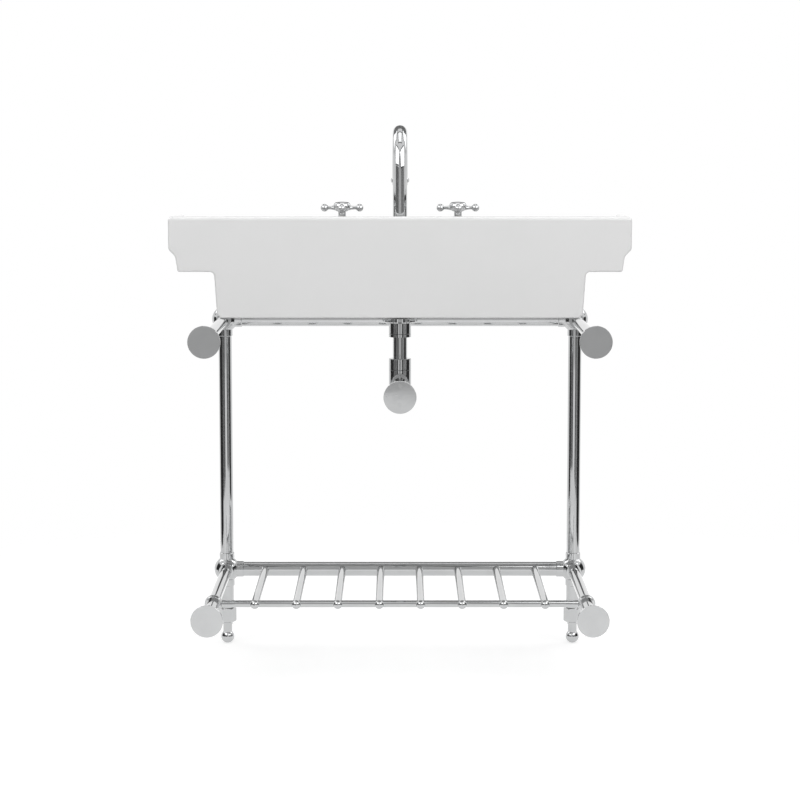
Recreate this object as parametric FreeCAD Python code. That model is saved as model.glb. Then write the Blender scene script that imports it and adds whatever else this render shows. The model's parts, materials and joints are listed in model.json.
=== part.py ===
import FreeCAD, Part
import math
import os

# Console washstand: a glazed basin on a ball-jointed tube frame, with taps and a waste.
# Millimetres. +Z is up, -Y is the front, and the wall is the plane y = WALL_Y.
# The origin is on the floor, under the middle of the basin's plan.
# The left side is the user's left, at -X, where the hot tap is.

os.makedirs("parts", exist_ok=True)
Vector = FreeCAD.Vector

# ---------------------------------------------------------------- driving sizes
BASIN_WIDTH = 800.0            # over the fascias
BASIN_DEPTH = 550.0            # wall to the front fascia
BASIN_HEIGHT = 175.4           # underside of the bowl to the top of the upstand
UPPER_RAIL_Z = 640.0           # axis height of the upper rails
LOWER_RAIL_Z = 147.0           # axis height of the lower rails
LEG_SETBACK = 64.5             # front fascia to the leg axes
RAIL_INSET = 60.0              # side fascia to the rail axes

# Fits between pieces
SOCKET_CLEARANCE = 0.05        # radial, between a tube and its socket
RUNNING_CLEARANCE = 0.05       # radial, in a turning or sliding fit
BODY_GAP = 0.3                 # between faces of two pieces that move apart

# Basin: upstand, rim and moulding
UPSTAND_RISE = 37.4            # deck to the top of the upstand
UPSTAND_THICKNESS = 20.0
RETURN_THICKNESS = 18.0        # side returns of the upstand
RETURN_LENGTH = 118.0          # full-height length of a return, from the wall
RETURN_SWEEP = 74.0            # plan length of the curve down to the rim
INNER_CORNER_RADIUS = 14.0     # upright corner between upstand and return
TOP_ROUND = 6.5                # rounding of the upstand's and rim's top edges
RIM_HEIGHT = 58.0              # ledge underside to the deck
FASCIA_HEIGHT = 15.2           # deck to the start of the moulding
MOULD_BULGE = 10.0             # radius of the convex turn under the fascia
MOULD_SLANT = 8.0              # straight 45 degree run
MOULD_COVE = 14.0              # radius of the concave turn
MOULD_LEAN = 8.0               # degrees off upright of the lower fascia
LEDGE_ROUND = 4.0              # lower corner of the moulding
PLAN_CORNER_RADIUS = 32.0      # front corners of the rim, seen from above
BACK_EDGE_ROUND = 3.0          # edge all round the back face

# Basin: bowl
BOWL_SIDE_INSET = 78.2         # side fascia to the bowl wall under the ledge
BOWL_FRONT_INSET = 36.4        # front fascia to the bowl wall under the ledge
BOWL_DRAFT = 5.4               # how far the outer wall leans in towards the bottom
BOWL_CORNER_RADIUS = 30.0
BOWL_EDGE_ROUND = 10.0         # lower edge of the bowl
LEDGE_FILLET = 8.0             # ledge to the bowl wall
BOWL_WALL = 14.0
FLOOR_THICKNESS = 20.0
DECK_THICKNESS = 16.0
DECK_DEPTH = 150.0             # wall to the back edge of the bowl opening
CAVITY_CORNER_RADIUS = 46.0
CAVITY_DRAFT = 15.0            # how far the inner wall leans in towards the floor
CAVITY_FLOOR_ROUND = 30.0
FLOOR_FALL = 3.0               # the dished floor falls this far to the waste
DISH_RADIUS = 110.0
BACK_PLATE = 14.0              # thickness behind the tap chamber

# Tube frame
LEG_RADIUS = 12.7
FRONT_RAIL_RADIUS = 14.0
SIDE_RAIL_RADIUS = 11.0
TUBE_WALL = 1.5
BALL_RADIUS = 25.0
COLLAR_REACH = 33.0            # ball centre to the end of a collar
LEG_COLLAR_RADIUS = 14.5
FRONT_COLLAR_RADIUS = 15.6
SIDE_COLLAR_RADIUS = 15.0
SOCKET_STOP = 15.0             # ball centre to the inner end of a rail
LEG_TOP_ABOVE_RAIL = 12.0
COLLAR_EDGE = 0.8

# Wall flanges
FLANGE_RADIUS = 28.6
FLANGE_THICKNESS = 6.0
FLANGE_EDGE = 2.0              # bevel towards the room
FLANGE_BACK_EDGE = 0.3         # broken edge against the wall
FLANGE_SOCKET_LENGTH = 26.0
FLANGE_SOCKET_WALL = 3.0
FLANGE_FLOOR = 3.0             # metal left behind the end of the tube

# Shelf
SHELF_ROD_COUNT = 8
SHELF_ROD_RADIUS = 7.6
SHELF_ROD_BALL_RADIUS = 8.3    # ball end behind the cross rod
SHELF_ROD_BALL_OFFSET = 7.0    # cross rod axis to the middle of the ball end
SHELF_ROD_DEPTH = 7.0          # how deep a rod sits in the front rail
CROSS_ROD_RADIUS = 6.35
CROSS_ROD_FROM_WALL = 152.4
TEE_BALL_RADIUS = 16.6
TEE_SLEEVE_RADIUS = 14.6
TEE_SLEEVE_HALF = 13.5
TEE_SOCKET_FLOOR = 1.0         # tee metal between the rail and the end of the cross rod

# Feet
LOCK_NUT_TOP = 71.0
LOCK_NUT_BOTTOM = 41.6
LOCK_NUT_ACROSS_CORNERS = 35.0
LOCK_NUT_CHAMFER = 4.4
LOCK_NUT_LIP = 4.4
LOCK_NUT_LIP_RADIUS = 10.0
FOOT_STEM_RADIUS = 8.7
FOOT_BALL_RADIUS = 13.0
FOOT_FLAT_RADIUS = 5.0         # worn flat that stands on the floor
FOOT_STEM_ENGAGEMENT = 36.0    # stem length inside the leg
LEG_PLUG_LENGTH = 30.0

# Basin rests on the upper front rail
REST_RISE = 42.0               # upper rail axis to the underside of the bowl
REST_SPREAD = 200.0            # rest axis to the centre line
REST_FOOT_RADIUS = 9.0
REST_FOOT_HEIGHT = 7.0
REST_STUD_RADIUS = 5.0
REST_PLATE_RADIUS = 13.0
REST_PLATE_THICKNESS = 4.0
PAD_RADIUS = 15.0
PAD_THICKNESS = 8.0
PAD_LIP = 2.5

# Taps
TAP_SPREAD = 101.7             # tap axis to the spout axis
TAP_FROM_WALL = 80.0
DECK_HOLE_RADIUS = 15.0
SHANK_RADIUS = 13.0
SHANK_BELOW_DECK = 40.0        # deck underside to the end of the shank's thread
SHANK_ABOVE_DECK = 12.0
ESCUTCHEON_RADIUS = 26.0
ESCUTCHEON_RIM = 4.0
ESCUTCHEON_HEIGHT = 35.3
ESCUTCHEON_NECK_RADIUS = 10.6
ESCUTCHEON_SHOULDER = 3.9      # rounded top edge of the neck
ESCUTCHEON_WALL = 2.2
ESCUTCHEON_THROAT = 21.2       # deck to the foot of the narrow part of the inside
ESCUTCHEON_ROOF = 6.6          # metal over the inside
FLARE_BOW = 3.6                # how far a bell's concave side stands off its chord
INLET_RADIUS = 10.48
INLET_BORE = 7.3
WATERWAY_RISE = 4.0            # how far the inlet's bore runs up into the valve
INLET_LENGTH = 22.0
VALVE_BODY_RADIUS = 17.0
VALVE_BODY_HEIGHT = 30.0
SPINDLE_RADIUS = 4.0
CARTRIDGE_DEPTH = 30.0         # spindle length inside the valve
BACKNUT_RADIUS = 20.0
BACKNUT_HEIGHT = 8.0
WASHER_THICKNESS = 2.0
LINK_RADIUS = 6.0
LINK_WALL = 1.0
LINK_SOCKET = 5.0

# Cross handle
HUB_RADIUS = 15.3
HUB_HEIGHT = 24.3
HUB_BELLY = 18.2               # hub foot to its widest ring
HUB_BELLY_BOW = 2.6            # swell of the hub's underside
HUB_DOME_BOW = 1.5             # swell of the hub's top
HUB_NECK_RADIUS = 6.7
HUB_NECK_HEIGHT = 7.4
ARM_HEIGHT_IN_HUB = 14.2       # hub foot to the arm axis
ARM_ROOT_RADIUS = 5.2
ARM_ROOT_AT = 10.0             # hub axis to the start of the arm's taper
ARM_WAIST_RADIUS = 2.9
ARM_WAIST_AT = 22.0
ARM_TAPER_BOW = 0.5            # hollow of the taper from root to waist
ARM_COLLAR_RADIUS = 4.2
HANDLE_REACH = 37.5
TIP_RADIUS = 6.7
ARM_COUNT = 4
BUTTON_RADIUS = 8.6
BUTTON_THICKNESS = 3.0
BUTTON_CROWN = 0.8
BUTTON_LAND = 0.8              # hub metal round the button

# Spout
SPOUT_TOP = 194.0              # deck to the crown of the gooseneck
SPOUT_REACH = 125.0
SPOUT_RADIUS = 12.5
SPOUT_OUTLET_RADIUS = 13.8
SPOUT_OUTLET_HEIGHT = 95.0     # deck to the middle of the outlet ring
SPOUT_BORE = 9.0
SPOUT_SHANK_BORE = 6.3
SPOUT_SHANK_FLOOR = 3.0        # metal under the shank's bore
SPOUT_BASE_RADIUS = 27.0
SPOUT_BASE_HEIGHT = 32.0
SPOUT_BASE_SHOULDER = 1.2
SPOUT_SOCKET_DEPTH = 24.0
NOZZLE_RADIUS = 16.8
NOZZLE_RING = 7.6
NOZZLE_TAIL = 6.0
NOZZLE_LIP = 1.25
NOZZLE_SWELL = 1.0             # how far the ring's middle stands out from its edges

# Waste and bottle trap
DRAIN_FROM_WALL = 260.0
WASTE_OUTLET_Z = 543.7
DRAIN_BOSS_RADIUS = 44.0
DRAIN_BOSS_DROP = 15.0         # underside of the bowl to the face of the boss
DRAIN_BODY_RADIUS = 18.0
DRAIN_BORE = 15.5
DRAIN_HOLE_RADIUS = 22.0
DRAIN_FLANGE_RADIUS = 31.0
DRAIN_FLANGE_THICKNESS = 3.0
DRAIN_FLANGE_EDGE = 1.0
DRAIN_BAR_BITE = 0.5           # how far the cross bar's ends run into the body
DRAIN_BAR_SIDE = 2.0           # metal of the cross bar beside the plug's stem
DRAIN_BAR_DEPTH = 24.0         # seat to the foot of the cross bar
DRAIN_SEAT_RADIUS = 22.0       # mouth of the flange, where the plug sits
DRAIN_GASKET = 4.0
DRAIN_BACKNUT_RADIUS = 32.5
DRAIN_BACKNUT_HEIGHT = 10.0
DRAIN_BACKNUT_EDGE = 2.0
DRAIN_GASKET_INSET = 1.0
PLUG_RADIUS = 20.5
PLUG_THROAT_RADIUS = 14.4
PLUG_CROWN = 3.0
PLUG_LIFT = 8.0                # travel of the push-button plug
PLUG_STEM_RADIUS = 4.0
SLIP_NUT_RADIUS = 20.5
SLIP_NUT_HEIGHT = 27.0
SLIP_NUT_BEAD = 6.0
SLIP_NUT_GROOVE = 0.8
TAILPIECE_RADIUS = 13.2
TAILPIECE_FLANGE = 3.0
TRAP_NUT_HEIGHT = 20.7
TRAP_NUT_ABOVE_OUTLET = 21.6   # outlet axis to the foot of the trap nut
TRAP_RADIUS = 20.5
TRAP_WALL = 2.8
TRAP_BODY_DROP = 22.0          # outlet axis to the joint with the cup
TRAP_CUP_HEIGHT = 27.0
TRAP_CUP_CORNER = 7.0
TRAP_THREAD_HEIGHT = 8.0
TRAP_COLLAR_RADIUS = 16.2
TRAP_COLLAR_REACH = 32.0

# ---------------------------------------------------------------- derived places
WALL_Y = BASIN_DEPTH / 2
FRONT_Y = -BASIN_DEPTH / 2
SIDE_X = BASIN_WIDTH / 2
LEG_Y = FRONT_Y + LEG_SETBACK
RAIL_X = SIDE_X - RAIL_INSET
BOWL_Z = UPPER_RAIL_Z + REST_RISE
TOP_Z = BOWL_Z + BASIN_HEIGHT
DECK_Z = TOP_Z - UPSTAND_RISE
LEDGE_Z = DECK_Z - RIM_HEIGHT
FLOOR_Z = BOWL_Z + FLOOR_THICKNESS
TAP_Y = WALL_Y - TAP_FROM_WALL
DRAIN_Y = WALL_Y - DRAIN_FROM_WALL
CROSS_ROD_Y = WALL_Y - CROSS_ROD_FROM_WALL
DECK_UNDERSIDE = DECK_Z - DECK_THICKNESS
SHELF_ROD_PITCH = 2 * RAIL_X / (SHELF_ROD_COUNT + 1)
OVERCUT = 1.0                  # how far a cutter runs past the face it opens
NEAR = 1e-3                    # places closer than this count as the same
SLACK = 1.0                    # how far a search for edges reaches past their place
ORIGIN = Vector(0, 0, 0)
UP = Vector(0, 0, 1)
RIGHT = Vector(1, 0, 0)
WALLWARD = Vector(0, 1, 0)


# ---------------------------------------------------------------- helpers
def outline_face(points, to_space):
    """Close straight runs (u, v) and arcs (u_mid, v_mid, u_end, v_end) into a face."""
    edges = []
    start = points[0]
    here = to_space(start[0], start[1])
    for point in list(points[1:]) + [start]:
        end = to_space(point[-2], point[-1])
        if len(point) == 4:
            middle = to_space(point[0], point[1])
            edges.append(Part.Arc(here, middle, end).toShape())
        elif here.distanceToPoint(end) > NEAR:
            edges.append(Part.LineSegment(here, end).toShape())
        here = end
    return Part.Face(Part.Wire(edges))


def turned(points, centre=ORIGIN):
    """Revolve a (radius, height) outline about an upright axis through centre."""
    face = outline_face(points, lambda radius, height: Vector(radius, 0, height))
    solid = face.revolve(ORIGIN, UP, 360)
    solid.translate(centre)
    return solid


def rod(radius, start, end):
    """A round bar between two points."""
    run = end - start
    return Part.makeCylinder(radius, run.Length, start, run)


def tube(radius, wall, start, end):
    """A hollow bar between two points."""
    return rod(radius, start, end).cut(rod(radius - wall, start, end))


def point_wallward(shape, place):
    """Point a shape made along +Z at the wall, its seam underneath, and put it at place."""
    shape.rotate(ORIGIN, UP, 90)
    shape.rotate(ORIGIN, RIGHT, -90)
    shape.translate(place)
    return shape


def fuse_all(shapes):
    """Join overlapping solids into one and merge their shared faces."""
    joined = shapes[0].multiFuse(shapes[1:])
    return joined.removeSplitter()


def mirrored(shape):
    """The same piece on the other side of the centre line."""
    return shape.mirror(ORIGIN, RIGHT)


def arc_through(centre_u, centre_v, radius, start_degrees, end_degrees):
    """An arc entry for outline_face: its middle and end, from a centre and two angles."""
    middle = math.radians((start_degrees + end_degrees) / 2)
    end = math.radians(end_degrees)
    return (centre_u + radius * math.cos(middle), centre_v + radius * math.sin(middle),
            centre_u + radius * math.cos(end), centre_v + radius * math.sin(end))


def bowed(start, end, bow):
    """An arc entry for outline_face that stands bow off the chord, to the right of its run."""
    run_u = end[0] - start[0]
    run_v = end[1] - start[1]
    chord = math.hypot(run_u, run_v)
    return ((start[0] + end[0]) / 2 + bow * run_v / chord,
            (start[1] + end[1]) / 2 - bow * run_u / chord, end[0], end[1])


def crown_arc(edge_radius, edge_height, rise):
    """An arc entry for outline_face: a shallow dome that ends square on the turning axis."""
    dome_radius = (edge_radius ** 2 + rise ** 2) / (2 * rise)
    centre = edge_height + rise - dome_radius
    edge_degrees = math.degrees(math.acos(edge_radius / dome_radius))
    return arc_through(0, centre, dome_radius, edge_degrees, 90)


def save(name, shape):
    """Write one sub-part."""
    shape.exportStep("parts/" + name + ".step")


# ---------------------------------------------------------------- basin
def rim_profile():
    """The moulded edge of the rim, as (inset from the fascia, height), from the top down."""
    bulge_end = 45.0
    fascia_foot = DECK_Z - FASCIA_HEIGHT
    bulge_centre = (MOULD_BULGE, fascia_foot)
    bulge = arc_through(bulge_centre[0], bulge_centre[1], MOULD_BULGE, 180, 180 + bulge_end)
    slant = MOULD_SLANT * math.sqrt(0.5)
    slant_foot = (bulge[2] + slant, bulge[3] - slant)
    cove_centre = (slant_foot[0] - MOULD_COVE * math.sqrt(0.5),
                   slant_foot[1] - MOULD_COVE * math.sqrt(0.5))
    cove = arc_through(cove_centre[0], cove_centre[1], MOULD_COVE, bulge_end, MOULD_LEAN)
    lean = math.tan(math.radians(MOULD_LEAN))
    corner_v = LEDGE_Z + LEDGE_ROUND
    corner_u = cove[2] + (cove[3] - corner_v) * lean
    corner = arc_through(corner_u + LEDGE_ROUND, corner_v, LEDGE_ROUND, 180, 270)
    return [(TOP_ROUND, DECK_Z),
            arc_through(TOP_ROUND, DECK_Z - TOP_ROUND, TOP_ROUND, 90, 180),
            (0, fascia_foot), bulge, slant_foot, cove, (corner_u, corner_v), corner]


def shifted(profile, to_u):
    """The rim profile with each inset passed through to_u."""
    moved = []
    for point in profile:
        pairs = [value if index % 2 else to_u(value) for index, value in enumerate(point)]
        moved.append(tuple(pairs))
    return moved


def rim_block():
    """The slab of the rim with its moulding along both sides, the front and two round corners."""
    profile = rim_profile()
    corner_x = SIDE_X - PLAN_CORNER_RADIUS
    corner_y = FRONT_Y + PLAN_CORNER_RADIUS
    column_outline = shifted(profile, lambda inset: PLAN_CORNER_RADIUS - inset)
    column_outline += [(0, LEDGE_Z), (0, DECK_Z)]
    column = turned(column_outline, Vector(corner_x, corner_y, 0))
    side = outline_face(shifted(profile, lambda inset: SIDE_X - inset)
                        + [(0, LEDGE_Z), (0, DECK_Z)],
                        lambda u, v: Vector(u, corner_y, v))
    side = side.extrude(WALLWARD * (WALL_Y - corner_y))
    front = outline_face(shifted(profile, lambda inset: FRONT_Y + inset)
                         + [(corner_y, LEDGE_Z), (corner_y, DECK_Z)],
                         lambda u, v: Vector(-corner_x, u, v))
    front = front.extrude(RIGHT * (2 * corner_x))
    return fuse_all([side, mirrored(side), front, column, mirrored(column)])


def upstand():
    """The raised wall at the back and its two side returns, swept down to the rim."""
    foot = DECK_Z - FASCIA_HEIGHT
    level_end = WALL_Y - RETURN_LENGTH
    sweep_end = level_end - RETURN_SWEEP
    sweep_middle = (level_end + sweep_end) / 2
    rise = TOP_Z - DECK_Z
    sweep_radius = (RETURN_SWEEP ** 2 + rise ** 2) / (4 * rise)
    turn = math.degrees(math.asin(RETURN_SWEEP / 2 / sweep_radius))
    crest = arc_through(level_end, TOP_Z - sweep_radius, sweep_radius, 90, 90 + turn)
    hollow = arc_through(sweep_end, DECK_Z + sweep_radius, sweep_radius, 270 + turn, 270)
    side_view = [(WALL_Y, foot), (WALL_Y, TOP_Z), (level_end, TOP_Z), crest[:2] +
                 (sweep_middle, TOP_Z - rise / 2), hollow[:2] + (sweep_end, DECK_Z),
                 (sweep_end - OVERCUT, DECK_Z), (sweep_end - OVERCUT, foot)]
    block = outline_face(side_view, lambda u, v: Vector(-SIDE_X, u, v))
    block = block.extrude(RIGHT * BASIN_WIDTH)
    inner_x = SIDE_X - RETURN_THICKNESS
    inner_y = WALL_Y - UPSTAND_THICKNESS
    hollow_out = Part.makeBox(2 * inner_x, inner_y - sweep_end + 2 * OVERCUT, TOP_Z,
                              Vector(-inner_x, sweep_end - 2 * OVERCUT, foot - OVERCUT))
    upright = [edge for edge in hollow_out.Edges
               if is_upright(edge) and edge.CenterOfMass.y > inner_y - OVERCUT]
    hollow_out = hollow_out.makeFillet(INNER_CORNER_RADIUS, upright)
    wall = block.cut(hollow_out)
    crest_edges = [edge for edge in wall.Edges if is_crest(edge, foot)]
    return wall.makeFillet(TOP_ROUND, crest_edges)


def is_upright(edge):
    """True for a straight edge along Z."""
    box = edge.BoundBox
    return box.XLength < NEAR and box.YLength < NEAR


def is_crest(edge, foot):
    """True for the edges that run along the top of the upstand and of its returns."""
    box = edge.BoundBox
    across_return = box.YLength < NEAR and box.XLength < RETURN_THICKNESS + NEAR
    return box.ZMin > foot + OVERCUT and not is_upright(edge) and not across_return


def rounded_plan(half_width, front_y, back_y, front_radius, back_radius, height):
    """A closed wire in plan, with round front corners and round or square back corners."""
    points = [(half_width, back_y - back_radius)]
    if back_radius:
        points.append(arc_through(half_width - back_radius, back_y - back_radius,
                                  back_radius, 0, 90))
        points.append((-half_width + back_radius, back_y))
        points.append(arc_through(-half_width + back_radius, back_y - back_radius,
                                  back_radius, 90, 180))
    else:
        points.append((-half_width, back_y))
    points.append((-half_width, front_y + front_radius))
    points.append(arc_through(-half_width + front_radius, front_y + front_radius,
                              front_radius, 180, 270))
    points.append((half_width - front_radius, front_y))
    points.append(arc_through(half_width - front_radius, front_y + front_radius,
                              front_radius, 270, 360))
    return outline_face(points, lambda u, v: Vector(u, v, height)).OuterWire


def bowl_block():
    """The outside of the bowl under the rim, leaning in a little towards its bottom."""
    half_width = SIDE_X - BOWL_SIDE_INSET
    front_y = FRONT_Y + BOWL_FRONT_INSET
    top = rounded_plan(half_width, front_y, WALL_Y, BOWL_CORNER_RADIUS, 0, LEDGE_Z + LEDGE_ROUND)
    bottom = rounded_plan(half_width - BOWL_DRAFT, front_y + BOWL_DRAFT, WALL_Y,
                          BOWL_CORNER_RADIUS, 0, BOWL_Z)
    block = Part.makeLoft([bottom, top], True, True)
    lower = [edge for edge in block.Edges
             if edge.BoundBox.ZMax < BOWL_Z + NEAR and edge.CenterOfMass.y < WALL_Y - NEAR]
    return block.makeFillet(BOWL_EDGE_ROUND, lower)


def bowl_cavity():
    """The space inside the bowl."""
    half_width = SIDE_X - BOWL_SIDE_INSET - BOWL_WALL
    front_y = FRONT_Y + BOWL_FRONT_INSET + BOWL_WALL
    back_y = WALL_Y - DECK_DEPTH
    lean = CAVITY_DRAFT / (DECK_Z - FLOOR_Z)
    top_rise = 2 * OVERCUT
    flare = lean * top_rise
    top = rounded_plan(half_width + flare, front_y - flare, back_y + flare,
                       CAVITY_CORNER_RADIUS, CAVITY_CORNER_RADIUS, DECK_Z + top_rise)
    bottom = rounded_plan(half_width - CAVITY_DRAFT, front_y + CAVITY_DRAFT,
                          back_y - CAVITY_DRAFT, CAVITY_CORNER_RADIUS, CAVITY_CORNER_RADIUS,
                          FLOOR_Z)
    cavity = Part.makeLoft([bottom, top], True, True)
    lower = [edge for edge in cavity.Edges if edge.BoundBox.ZMax < FLOOR_Z + NEAR]
    return cavity.makeFillet(CAVITY_FLOOR_ROUND, lower)


def tap_chamber():
    """The space behind the bowl that the taps hang in, open below and closed by the back plate."""
    half_width = SIDE_X - BOWL_SIDE_INSET - BOWL_DRAFT - BOWL_WALL
    back_y = WALL_Y - BACK_PLATE
    front_top = WALL_Y - DECK_DEPTH + BOWL_WALL
    front_bottom = front_top - CAVITY_DRAFT
    foot = BOWL_Z - OVERCUT
    side_view = [(back_y, foot), (back_y, DECK_UNDERSIDE), (front_top, DECK_UNDERSIDE),
                 (front_bottom, foot)]
    chamber = outline_face(side_view, lambda u, v: Vector(-half_width, u, v))
    return chamber.extrude(RIGHT * (2 * half_width))


def drain_opening():
    """The dish in the floor, the seat of the waste's flange and the hole through the boss."""
    seat_z = FLOOR_Z - FLOOR_FALL
    seat_radius = DRAIN_FLANGE_RADIUS + BODY_GAP
    boss_face = BOWL_Z - DRAIN_BOSS_DROP
    outline = [(0, boss_face - OVERCUT), (DRAIN_HOLE_RADIUS, boss_face - OVERCUT),
               (DRAIN_HOLE_RADIUS, seat_z), (seat_radius, seat_z), (DISH_RADIUS, FLOOR_Z),
               (0, FLOOR_Z)]
    return turned(outline, Vector(0, DRAIN_Y, 0))


def back_outline_edges(shape):
    """The outer edges of the flat back face."""
    for face in shape.Faces:
        box = face.BoundBox
        if box.YMin > WALL_Y - NEAR and box.XLength > BASIN_WIDTH / 2:
            return face.OuterWire.Edges
    raise ValueError("the basin has no flat back face")


def basin():
    """The whole glazed basin, as one solid."""
    boss_face = BOWL_Z - DRAIN_BOSS_DROP
    boss = Part.makeCylinder(DRAIN_BOSS_RADIUS, DRAIN_BOSS_DROP + OVERCUT,
                             Vector(0, DRAIN_Y, boss_face))
    body = fuse_all([rim_block(), bowl_block(), upstand()])
    under_ledge = [edge for edge in body.Edges
                   if abs(edge.BoundBox.ZMin - LEDGE_Z) < NEAR and edge.BoundBox.ZLength < NEAR
                   and abs(edge.CenterOfMass.x) < SIDE_X - BOWL_SIDE_INSET + SLACK
                   and edge.CenterOfMass.y > FRONT_Y + BOWL_FRONT_INSET - SLACK
                   and edge.CenterOfMass.y < WALL_Y - NEAR]
    body = body.makeFillet(LEDGE_FILLET, under_ledge)
    body = body.makeFillet(BACK_EDGE_ROUND, back_outline_edges(body))
    body = body.cut(bowl_cavity())
    opening_rim = [edge for edge in body.Edges
                   if abs(edge.BoundBox.ZMin - DECK_Z) < NEAR and edge.BoundBox.ZLength < NEAR
                   and in_bowl_opening(edge.CenterOfMass)]
    body = body.makeFillet(TOP_ROUND, opening_rim)
    body = body.cut(tap_chamber())
    body = body.fuse(boss).cut(drain_opening())
    for x in (-TAP_SPREAD, 0, TAP_SPREAD):
        body = body.cut(Part.makeCylinder(DECK_HOLE_RADIUS, 2 * DECK_THICKNESS,
                                          Vector(x, TAP_Y, DECK_Z - 1.5 * DECK_THICKNESS)))
    return body.removeSplitter()


def in_bowl_opening(point):
    """True for a point on or inside the outline of the bowl's opening at the deck."""
    half_width = SIDE_X - BOWL_SIDE_INSET - BOWL_WALL
    front_y = FRONT_Y + BOWL_FRONT_INSET + BOWL_WALL
    return (abs(point.x) < half_width + SLACK and point.y > front_y - SLACK
            and point.y < WALL_Y - DECK_DEPTH + SLACK)


# ---------------------------------------------------------------- tube frame
def leg(x):
    """A leg: a tube through the lower ball, with a plug in its foot for the levelling stem."""
    foot = Vector(x, LEG_Y, LOCK_NUT_TOP)
    top = Vector(x, LEG_Y, UPPER_RAIL_Z + LEG_TOP_ABOVE_RAIL)
    plug_top = foot + UP * LEG_PLUG_LENGTH
    plug = rod(LEG_RADIUS - TUBE_WALL, foot, plug_top)
    body = tube(LEG_RADIUS, TUBE_WALL, foot, top).fuse(plug)
    return body.cut(rod(FOOT_STEM_RADIUS + RUNNING_CLEARANCE, foot, plug_top)).removeSplitter()


def collar(radius, direction, centre):
    """A short round collar that grows out of a ball, with a broken edge."""
    outline = [(0, 0), (radius, 0), (radius, COLLAR_REACH - COLLAR_EDGE),
               (radius - COLLAR_EDGE, COLLAR_REACH), (0, COLLAR_REACH)]
    solid = turned(outline)
    solid.Placement = FreeCAD.Placement(centre, FreeCAD.Rotation(UP, direction))
    return solid


def ball_fitting(side, height, leg_goes_through):
    """A ball that joins a leg, a front rail and a side rail. side is -1 or 1."""
    centre = Vector(side * RAIL_X, LEG_Y, height)
    inward = RIGHT * -side
    pieces = [Part.makeSphere(BALL_RADIUS, centre),
              collar(LEG_COLLAR_RADIUS, -UP, centre),
              collar(FRONT_COLLAR_RADIUS, inward, centre),
              collar(SIDE_COLLAR_RADIUS, WALLWARD, centre)]
    leg_top = centre + UP * LEG_TOP_ABOVE_RAIL
    if leg_goes_through:
        pieces.append(collar(LEG_COLLAR_RADIUS, UP, centre))
        leg_top = centre + UP * (COLLAR_REACH + OVERCUT)
    body = fuse_all(pieces)
    reach = COLLAR_REACH + OVERCUT
    bores = [rod(LEG_RADIUS + SOCKET_CLEARANCE, centre - UP * reach, leg_top),
             rod(FRONT_RAIL_RADIUS + SOCKET_CLEARANCE, centre + inward * SOCKET_STOP,
                 centre + inward * reach),
             rod(SIDE_RAIL_RADIUS + SOCKET_CLEARANCE, centre + WALLWARD * SOCKET_STOP,
                 centre + WALLWARD * reach)]
    for bore in bores:
        body = body.cut(bore)
    return body


def front_rail(height):
    """A tube between the two balls at one height."""
    half = RAIL_X - SOCKET_STOP
    return tube(FRONT_RAIL_RADIUS, TUBE_WALL, Vector(-half, LEG_Y, height),
                Vector(half, LEG_Y, height))


def upper_front_rail():
    """The front rail under the basin, drilled for the studs of the basin rests."""
    rail = front_rail(UPPER_RAIL_Z)
    for x in rest_places():
        hole = rod(REST_STUD_RADIUS + SOCKET_CLEARANCE, Vector(x, LEG_Y, UPPER_RAIL_Z),
                   Vector(x, LEG_Y, UPPER_RAIL_Z + 2 * FRONT_RAIL_RADIUS))
        rail = rail.cut(hole)
    return rail


def lower_front_rail():
    """The front rail of the shelf, drilled for the shelf rods."""
    rail = front_rail(LOWER_RAIL_Z)
    for x in shelf_rod_places():
        hole = rod(SHELF_ROD_RADIUS + SOCKET_CLEARANCE, Vector(x, LEG_Y, LOWER_RAIL_Z),
                   Vector(x, LEG_Y + 2 * FRONT_RAIL_RADIUS, LOWER_RAIL_Z))
        rail = rail.cut(hole)
    return rail


def side_rail(side, height):
    """A tube from a ball back to its wall flange."""
    return tube(SIDE_RAIL_RADIUS, TUBE_WALL,
                Vector(side * RAIL_X, LEG_Y + SOCKET_STOP, height),
                Vector(side * RAIL_X, WALL_Y - FLANGE_FLOOR, height))


def flange(tube_radius, place):
    """A round wall flange with a blind socket for a tube, its flat back on the wall."""
    socket_radius = tube_radius + SOCKET_CLEARANCE + FLANGE_SOCKET_WALL
    outline = [(0, 0), (FLANGE_RADIUS - FLANGE_BACK_EDGE, 0), (FLANGE_RADIUS, FLANGE_BACK_EDGE),
               (FLANGE_RADIUS, FLANGE_THICKNESS - FLANGE_EDGE),
               (FLANGE_RADIUS - FLANGE_EDGE, FLANGE_THICKNESS),
               (socket_radius, FLANGE_THICKNESS),
               (socket_radius, FLANGE_SOCKET_LENGTH - COLLAR_EDGE),
               (socket_radius - COLLAR_EDGE, FLANGE_SOCKET_LENGTH), (0, FLANGE_SOCKET_LENGTH)]
    body = turned(outline)
    bore = rod(tube_radius + SOCKET_CLEARANCE, UP * FLANGE_FLOOR,
               UP * (FLANGE_SOCKET_LENGTH + OVERCUT))
    body = body.cut(bore)
    body.rotate(ORIGIN, RIGHT, 90)
    body.translate(place)
    return body


# ---------------------------------------------------------------- shelf
def shelf_rod_places():
    """The rods' places along X, evenly spaced about the centre line."""
    middle = (SHELF_ROD_COUNT - 1) / 2
    return [(index - middle) * SHELF_ROD_PITCH for index in range(SHELF_ROD_COUNT)]


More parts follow.
